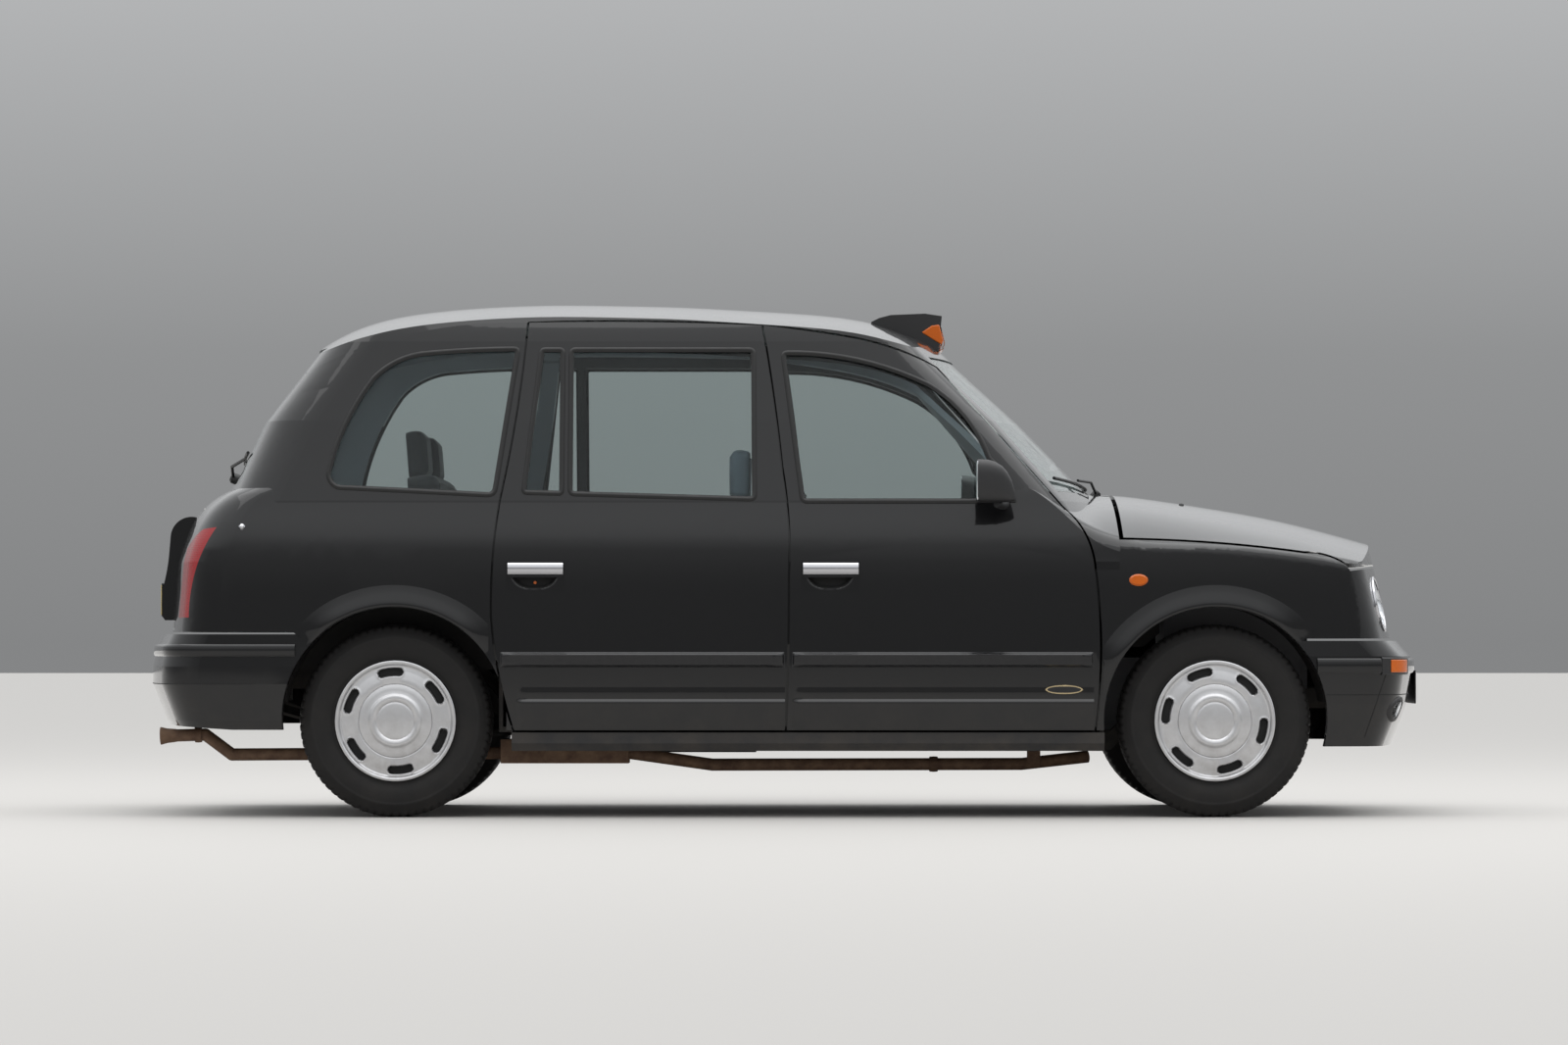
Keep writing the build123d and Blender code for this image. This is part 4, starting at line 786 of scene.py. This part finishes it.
BAR = [(-21, -6), (-20, 4), (-15, 9), (-6, 12), (6, 12), (15, 9), (20, 4), (21, -6)]
BAR_Z, CUP_Z = 875, 868
for side, sign in SIDES:
    for end, x0 in (("front", 76), ("rear", -960)):
        body = f"{end}_door_{side}"
        base = flat_base(x0 - 12, x0 + 202, 794, 906)

        def cup(x, z, middle=x0 + 92):
            inside = 1 - (abs((x - middle) / 82) ** 2.6 + abs((z - CUP_Z) / 64) ** 2.2)
            return 0.8 - 25 * ramp_up(inside, 0.35)
        xs, zs = spread(x0 - 8, x0 + 198, 4.5), spread(797, 900, 4)
        # Faces more than 2 mm deep in the cup are painted near-black: painted shade in the recess.
        dark = [int(min(cup(x, z) for x in pair_x for z in pair_z) < -2)
                for pair_z in zip(zs, zs[1:]) for pair_x in zip(xs, xs[1:])]
        relief(f"{end}_handle_cup_{side}", xs, zs, cup, [paint, shade_and_seam_black], body, base=base, sharp=60,
               indices=dark, sign=sign)
        path = []
        for station in (-2, 0, 10, 95, 180, 190, 192):
            point, normal = base(x0 + station, BAR_Z)
            path.append((point + normal * 3, normal))
        sweep(f"{end}_handle_bar_{side}", path, BAR, chrome, body, sign=sign)
    front, out = f"front_door_{side}", (0, sign, 0)
    lathe(f"door_lock_{side}", [(0.1, 3), (5, 3), (6, 4), (9, 3.5), (10, 0), (10, -3)],
          on_side(skin_point(99, 807)[0], sign), out, chrome, front)
    # The rear handle's base is the last that the loop made
    lathe(f"rear_handle_light_{side}", [(0.1, -19), (5, -20), (6, -24)], on_side(base(-867, 826)[0], sign),
          out, amber, f"rear_door_{side}", 20)
    slab(f"badge_rim_{side}", ellipse(989, 451, 66, 16.5), 3.2, gold, front, lift=3, sign=sign)
    slab(f"badge_field_{side}", ellipse(989, 451, 61, 12.5), 3.8, gloss, front, lift=3, sign=sign)
    slab(f"side_repeater_{side}", ellipse(1250, 835, 33, 21), 9, amber, bevel=6, sign=sign)


# Bumpers: strips, seams, indicators, fog lamps and plates

def around(z, centre_x, angles):
    """(point, outward) pairs round one end of the body; angle 0 looks forward, 90 to the right."""
    points = []
    for angle in angles:
        a = math.radians(angle)
        way = Vector((-math.cos(a), math.sin(a), 0))
        start = (Vector((centre_x, 0, z)) - way * 2000) * MM
        hit = body_tree.ray_cast(start, way, 2.0)[0]
        if hit:
            points.append(hit / MM)
    made = []
    for i, point in enumerate(points):
        out = heading(points, i).cross(Vector((0, 0, 1)))
        made.append((point, out if out.dot(point - Vector((centre_x, 0, z))) > 0 else -out))
    return made


STRIP = [(-27, -3), (-27, 4), (-23, 8), (-15, 10), (15, 10), (23, 8), (27, 4), (27, -3)]
HAIR = [(-1.6, -1), (-1.6, 0.7), (1.6, 0.7), (1.6, -1)]
LENS = [(-25, -3), (-25, 9), (-20, 13), (20, 13), (25, 9), (25, -3)]
FRAME = [(-31, -3), (-31, 7), (-27, 11), (27, 11), (31, 7), (31, -3)]
FRONT_X, REAR_X = 1560, -1640  # the middles that around() turns about
STRIP_Z, REAR_STRIP_Z, SEAM_Z, REAR_SEAM_Z = 533, 588, 432, 470
sweep("front_bumper_strip", around(STRIP_Z, FRONT_X, [a * 1.5 for a in range(-46, 47)]), STRIP, paint)
sweep("front_bumper_seam", around(SEAM_Z, FRONT_X, range(-72, 73)), HAIR, shade_and_seam_black)
for side, sign in SIDES:
    for name, first, count, section, made in (("", 47, 9, LENS, amber), ("_frame", 45, 14, FRAME, plastic)):
        path = around(STRIP_Z, FRONT_X, [-sign * (first + k * 0.8) for k in range(count)])
        sweep(f"front_indicator{name}_{side}", path, section, made)
sweep("rear_bumper_strip", around(REAR_STRIP_Z, REAR_X, [180 + a * 1.5 for a in range(-57, 58)]),
      [(a * 0.8, o) for a, o in STRIP], paint)
sweep("rear_bumper_seam", around(REAR_SEAM_Z, REAR_X, range(104, 257)), HAIR, shade_and_seam_black)


def plate(name, sign, z, body, made):
    """A blank number plate on its backing."""
    x = max(abs(ahead(y, z + dz, sign)) for y in (-250, 0, 250) for dz in (-50, 50)) * sign
    for piece, near, far, half_y, half_z, look, bevel in ((f"{name}_back", 0, 5, 264, 60, plastic, 2),
                                                          (name, 4.5, 7, 258, 54, made, 1)):
        box(piece, (x + sign * near, -half_y, z - half_z), (x + sign * far, half_y, z + half_z), look, body,
            bevel)


plate("front_plate", 1, 455, "root", white)
plate("rear_plate", -1, 770, "boot_lid", yellow)
for side, sign in SIDES:
    seam = [skin_point(2052 + 76 * t / 8, 282 + 222 * t / 8, 6) for t in range(9)]
    sweep(f"front_bumper_joint_{side}", seam, HAIR, shade_and_seam_black, sign=sign)


# Headlamps and fog lamps

LAMP_Y, LAMP_Z, FOG_Y, FOG_Z = 560, 752, 700, 380
lamp_tree = tree_of("headlamps", "front_panel")


def lamp_face(y, z):
    """X of the headlamp's face."""
    return lamp_tree.ray_cast(Vector((FROM_END, y, z)) * MM, Vector((-1, 0, 0)), 2)[0].x / MM


def lamp_part(name, face, y, z, rings, made, stretch=1.0, limit=90, steps=56, **more):
    """Rings of (radius, distance off the face), laid on the face of a lamp whose middle is at y, z."""
    corners = []
    for r, out in rings:
        near = 0.98 * min(1, limit / r)
        for c, s in circle(steps):
            dy, dz = r * stretch * c, r * s
            corners.append((face(y + dy * near, z + dz * near) + out, y + dy, z + dz))
    return build(name, corners, tube_faces(len(rings), steps), made, **more)


for side, sign in SIDES:
    y = sign * LAMP_Y
    for part, rings, made, more in (
        ("lens", [(0.1, 7), (30, 6.5), (60, 5), (80, 2.5), (88, 0), (90, -4)], clear,
         {"replaces": ["headlamps"]}),
        ("bowl", [(0.1, -62), (14, -60), (30, -52), (52, -36), (72, -16), (86, -2), (90, -1)], bowl, {}),
        ("ring", [(87, -2), (88, 5), (93, 7), (98, 5), (99, -2)], chrome, {}),
    ):
        lamp_part(f"headlamp_{part}_{side}", lamp_face, y, LAMP_Z, rings, made, **more)
    lathe(f"headlamp_bulb_{side}", [(0.1, 34), (7, 30), (9, 20), (9, 0)],
          (lamp_face(y, LAMP_Z) - 62, y, LAMP_Z), FORWARD, white)
    for part, rings, made in (
        ("bowl", [(0.1, 2), (14, 2.4), (26, 4), (33, 5.5), (36, 2)], bowl),
        ("lens", [(0.1, 10), (14, 9.5), (26, 8), (34, 5.5), (36, 2)], clear),
        ("ring", [(33, -2), (34, 7), (37, 10), (42, 9), (45, 4), (46, -3)], plastic),
    ):
        lamp_part(f"fog_lamp_{part}_{side}", ahead, sign * FOG_Y, FOG_Z, rings, made, 1.3, 44)


# Door mirrors

MIRROR = [(683, 1104, 1257, -1018, -900), (690, 1104, 1257, -1019, -899), (720, 1104, 1255, -1018, -900),
          (745, 1105, 1247, -1013, -904), (768, 1106, 1233, -1003, -911), (787, 1107, 1212, -990, -920),
          (802, 1108, 1184, -976, -931), (812, 1110, 1152, -962, -940), (817, 1113, 1124, -955, -946)]
SQUARE = 0.62  # below 1, a mirror's outline is squarer than an ellipse
for side, sign in SIDES:
    body, steps, corners = f"front_door_{side}", 40, []
    for x, low, high, outer, inner in MIRROR:
        for c, s in circle(steps):
            y = (outer + inner) / 2 + math.copysign(abs(c) ** SQUARE, c) * (inner - outer) / 2
            z = (low + high) / 2 + math.copysign(abs(s) ** SQUARE, s) * (high - low) / 2
            corners.append((x, y, z))
    faces = tube_faces(len(MIRROR), steps) + end_faces(len(MIRROR), steps)
    build(f"mirror_housing_{side}", corners, faces, plastic, body, replaces=[f"door_mirror_{side}"],
          sign=sign)
    box(f"mirror_glass_{side}", (680, sign * 1009, 1114), (684, sign * 909, 1248), mirror_glass, body, 1.5)
    arm = [(750, -960, 1100), (768, -925, 1094), (780, -895, 1095), (786, -868, 1102)]
    pipe(f"mirror_arm_{side}", [(x, -sign * y, z) for x, y, z in arm], 13, plastic, body)
    slab(f"mirror_sail_{side}", rounded([(752, 1108), (826, 1108), (806, 1160), (764, 1248)], 10), 4,
         plastic, body, lift=2, sign=sign)


# Roof sign lens, wipers, jets and boot details

prism("roof_sign_lens", [(503, 1738), (541, 1763), (568, 1766), (581, 1708), (577, 1692)], 243, amber,
      bevel=4)
prism("roof_sign_front", [(560, 1764), (572, 1770), (588, 1700), (583, 1676), (570, 1676)], 234, clear)


SCREEN_OUT, REAR_OUT = Vector((0.65, 0, 0.76)), Vector((-0.92, 0, 0.39))  # out from the screens


def off_glass(y, z, off, sign):
    """A point off the windscreen (1) or the rear screen (-1)."""
    return Vector((ahead(y, z, sign), y, z)) + (SCREEN_OUT if sign > 0 else REAR_OUT) * off


WIPER_X, JET_X, JET_Y = 1142, 1447, 190
for name, way, start_y, low, high in (("right", -1, -110, (-655, 1190), (-130, 1163)),
                                      ("left", 1, 520, (-30, 1163), (500, 1180))):
    blade = [off_glass(low[0] + (high[0] - low[0]) * t / 8, low[1] + (high[1] - low[1]) * t / 8, 12, 1)
             for t in range(9)]
    pipe(f"wiper_blade_{name}", blade, 6, rubber)
    middle = blade[4] + Vector((9, 0, 12))
    start = Vector((WIPER_X, start_y, above(WIPER_X, start_y) + 6))
    bend = start.lerp(middle, 0.5) + Vector((14, 0, 18))
    pipe(f"wiper_arm_{name}", [start, bend, middle], 5, plastic)
    lathe(f"wiper_pivot_{name}", [(16, -16), (16, 6), (12, 12), (0.1, 13)], start, SCREEN_OUT, plastic)
    jet = (JET_X, way * JET_Y, above(JET_X, way * JET_Y))
    lathe(f"washer_jet_{name}", [(10, -2), (9, 3), (5, 6), (0.1, 7)], jet, UP, plastic, "bonnet", 20)
blade = [off_glass(-60 - 40 * t, 1262 + 4 * t, 10, -1) for t in range(9)]
pivot = off_glass(0, 1205, 34, -1)
bend = (pivot + blade[4]) / 2 + Vector((-26, 0, 6))
pipe("rear_wiper_blade", blade, 6, rubber)
pipe("rear_wiper_arm", [pivot, bend, blade[4]], 6, plastic)
lathe("rear_wiper_pivot", [(22, -40), (20, 2), (14, 9), (0.1, 10)], pivot, REAR_OUT, plastic)
for side, sign in SIDES:
    lathe(f"rear_jet_{side}", [(12, -4), (11, 4), (6, 9), (0.1, 10)],
          on_side(skin_point(-1898, 1023)[0], sign), (0, sign * 0.8, 0.6), chrome, segments=20)


# Seats

# The bow of a pad's sides, the height of its piping and the depth of its channels
BOW, PIPING, CHANNEL = 5.0, 2.6, 7


def cushion(name, centre, along, across, half_a, half_b, depth, crown, seams=(), edge=34, made=dark_cloth,
            **more):
    """A crowned pad with piped edges and sewn channels; its base plane holds the centre.

    A seam is (axis, place on it, low, high), where low and high are its ends on the other axis.
    """
    along, across = Vector(along).normalized(), Vector(across).normalized()
    out = along.cross(across)
    wrap = edge * math.pi / 2 + depth - edge

    def stations(half):
        inner = half - edge
        values = set(spread(-inner, inner, 24))
        for _, place, _, _ in seams:
            values |= {place + d for d in (-9, -5, -2.5, 0, 2.5, 5, 9) if abs(place + d) < inner}
        past = [2.5, 5, 8, 12, 18, 26, 36, 53] + [wrap * k / 6 for k in (4, 5, 6)]
        values |= {s * (inner + d) for d in past for s in (-1, 1)}
        return sorted(v for v in values if abs(v) <= inner + wrap + 0.01)

    us, vs, corners = stations(half_a), stations(half_b), []
    for s in us:
        for t in vs:
            u, v = clamped(s, edge - half_a, half_a - edge), clamped(t, edge - half_b, half_b - edge)
            over = math.hypot(s - u, t - v)
            way = ((s - u) / over, (t - v) / over) if over > 0.01 else (0, 0)
            turn = min(over / edge, math.pi / 2)
            sink = min(edge * (1 - math.cos(turn)) + max(over - edge * math.pi / 2, 0), depth)
            lift = crown * (1 - (u / half_a) ** 4) * (1 - (v / half_b) ** 4)
            lift += PIPING * math.exp(-((over - 5) / 2.6) ** 2)
            for axis, place, low, high in seams:
                here, other = (u, v) if axis == "a" else (v, u)
                if low <= other <= high:
                    lift -= CHANNEL * math.exp(-((here - place) / 5.0) ** 2)
            reach = edge * math.sin(turn)
            if over > edge:
                reach += BOW * math.sin(math.pi * min(sink / depth, 1))
            place = along * (u + way[0] * reach) + across * (v + way[1] * reach)
            corners.append(Vector(centre) + place + out * (depth - sink + lift))
    obj = build(name, corners, grid_faces(len(us), len(vs)), made, sharp=70, **more)
    work = bmesh.new()
    work.from_mesh(obj.data)
    bmesh.ops.remove_doubles(work, verts=work.verts, dist=0.0002)
    bmesh.ops.dissolve_degenerate(work, edges=work.edges, dist=0.0001)
    bmesh.ops.holes_fill(work, edges=work.edges, sides=0)
    bmesh.ops.recalc_face_normals(work, faces=work.faces)
    work.to_mesh(obj.data)
    work.free()


def seams_across(half, low, high, *places):
    """Two seams at equal distances from the middle, and those that cross the panel between them."""
    sides = [("b", place, low, high) for place in (-half, half)]
    return sides + [("a", place, -half, half) for place in places]


SEAT_Y, BENCH_Z = -390, 538
box("driver_seat_base", (70, -570, 320), (450, -210, 498), trim, bevel=20, replaces=["driver_seat"])
cushion("driver_cushion", (275, SEAT_Y, 498), FORWARD, LEFT, 245, 218, 112, 16,
        seams_across(120, -180, 200, -80, 60))
cushion("driver_back", (5, SEAT_Y, 890), (-50, 0, 560), RIGHT, 272, 208, 96, 14,
        seams_across(115, -220, 230, -60, 90))
for name, y in (("right", SEAT_Y - 60), ("left", SEAT_Y + 60)):
    pipe(f"head_rest_post_{name}", [(20, y, 1140), (18, y, 1215)], 7, chrome)
cushion("driver_head_rest", (-18, SEAT_Y, 1262), (-0.06, 0, 1), RIGHT, 68, 108, 72, 6, edge=30)
box("bench_base", (-986, -400, 320), (-780, 400, BENCH_Z), trim, bevel=6, replaces=["rear_bench"])
cushion("bench_cushion", (-940, 0, BENCH_Z + 1), FORWARD, LEFT, 209, 543, 138, 14,
        (*seams_across(182, -195, 205, -120, 20), ("a", 20, 182, 500), ("a", 20, -500, -182)))
back_low, back_high = Vector((-1270, 0, BENCH_Z)), Vector((-1340, 0, 1200))
lean = back_high - back_low
cushion("bench_back", (back_low + back_high) / 2 + Vector((0, 0, 3)), lean, RIGHT, lean.length / 2, 543,
        112, 14, (*seams_across(182, -250, 250), ("a", 80, -500, 500), ("a", -90, -500, 500)))
for name, y, more in (("right", -330, {"replaces": ["jump_seats"]}), ("left", 330, {})):
    cushion(f"bench_head_rest_{name}", (-1345, y, 1284), (-0.08, 0, 1), RIGHT, 82, 148, 70, 6, edge=30)
    cushion(f"tip_up_seat_{name}", (-92, y, 785), UP, LEFT, 223, 213, 78, 8, seams_across(120, -190, 190, 0),
            26, cloth, **more)
    cushion(f"tip_up_rest_{name}", (-118, y, 1215), UP, LEFT, 84, 168, 66, 6, [("b", 0, -60, 60)], 24, cloth)
    box(f"tip_up_post_{name}", (-160, y - 55, 1000), (-132, y + 55, 1140), plastic, bevel=5)


# Exhaust clamps, bracket and tip

PIPE_R, PIPE_END, PIPE_WAY = 22, Vector((-2190, -565, 284)), (-1, 0, -0.03)


def clamp(name, start, end, half):
    """A clamp half way along a straight piece of the exhaust pipe."""
    start, end = Vector(start), Vector(end)
    inner, outer = PIPE_R - 4, PIPE_R + 5
    profile = [(inner, -half), (outer, -half), (outer + 1, 0), (outer, half), (inner, half)]
    lathe(name, profile, (start + end) / 2, (end - start).normalized(), rust, segments=32)


clamp("exhaust_clamp_front", (560, -429, 180), (524, -433, 180), 14)
clamp("exhaust_clamp_rear", (-2062, -565, 288), (-2098, -565, 287), 12)
box("exhaust_bracket", (878, -414, 168), (926, -402, 229), rust, bevel=3)
TIP = [(22.5, -34), (24, -22), (26, 0), (31, 20), (31.5, 24), (29, 25), (26, 23.5), (24, 18)]
lathe("exhaust_tip", TIP, PIPE_END, PIPE_WAY, rust, segments=48)
# A near-black disc just inside the tip's mouth is painted shade for the pipe's bore.
lathe("exhaust_bore_shade", [(0.1, 23), (25.6, 23)], PIPE_END, PIPE_WAY, shade_and_seam_black, segments=48)


# Dashboard details

BACKWARD = (-1, 0, 0)
box("dials_hood", (858, -540, 1040), (985, -225, 1096), trim, bevel=18)
box("dials", (852, -520, 985), (857, -245, 1050), gloss)
for i, y in enumerate((-450, -315)):
    lathe(f"dial_{i + 1}", [(0.1, 2), (27, 2), (29, 4), (31, 2), (31, 0)], (852, y, 1018), BACKWARD,
          ceramic, segments=32)
box("centre_panel", (836, -120, 800), (862, 120, 1010), plastic, bevel=6)
box("radio", (831, -95, 930), (838, 95, 985), gloss)
for i, y in enumerate((-70, 0, 70)):
    lathe(f"heater_knob_{i + 1}", [(16, 0), (16, 16), (13, 19), (0.1, 19)], (836, y, 870), BACKWARD,
          plastic)
for i, (x, y) in enumerate(((846, -640), (842, -170), (842, 170), (846, 640))):
    box(f"air_vent_{i + 1}", (x, y - 48, 985), (866, y + 48, 1030), shade_and_seam_black, bevel=5)
pipe("gear_lever", [(520, -60, 318), (560, -75, 480), (572, -82, 590)], 8, plastic)
lathe("gear_knob", [(0.1, -24), (16, -20), (24, -4), (22, 12), (12, 22), (0.1, 24)], (574, -83, 608),
      (0.1, 0, 1), plastic, segments=28)
lathe("steering_boss", [(0.1, 30), (36, 28), (52, 20), (56, 6), (50, -6)], (700, -380, 1010),
      (-0.8, 0, 0.6), trim, "steering_wheel", 40)
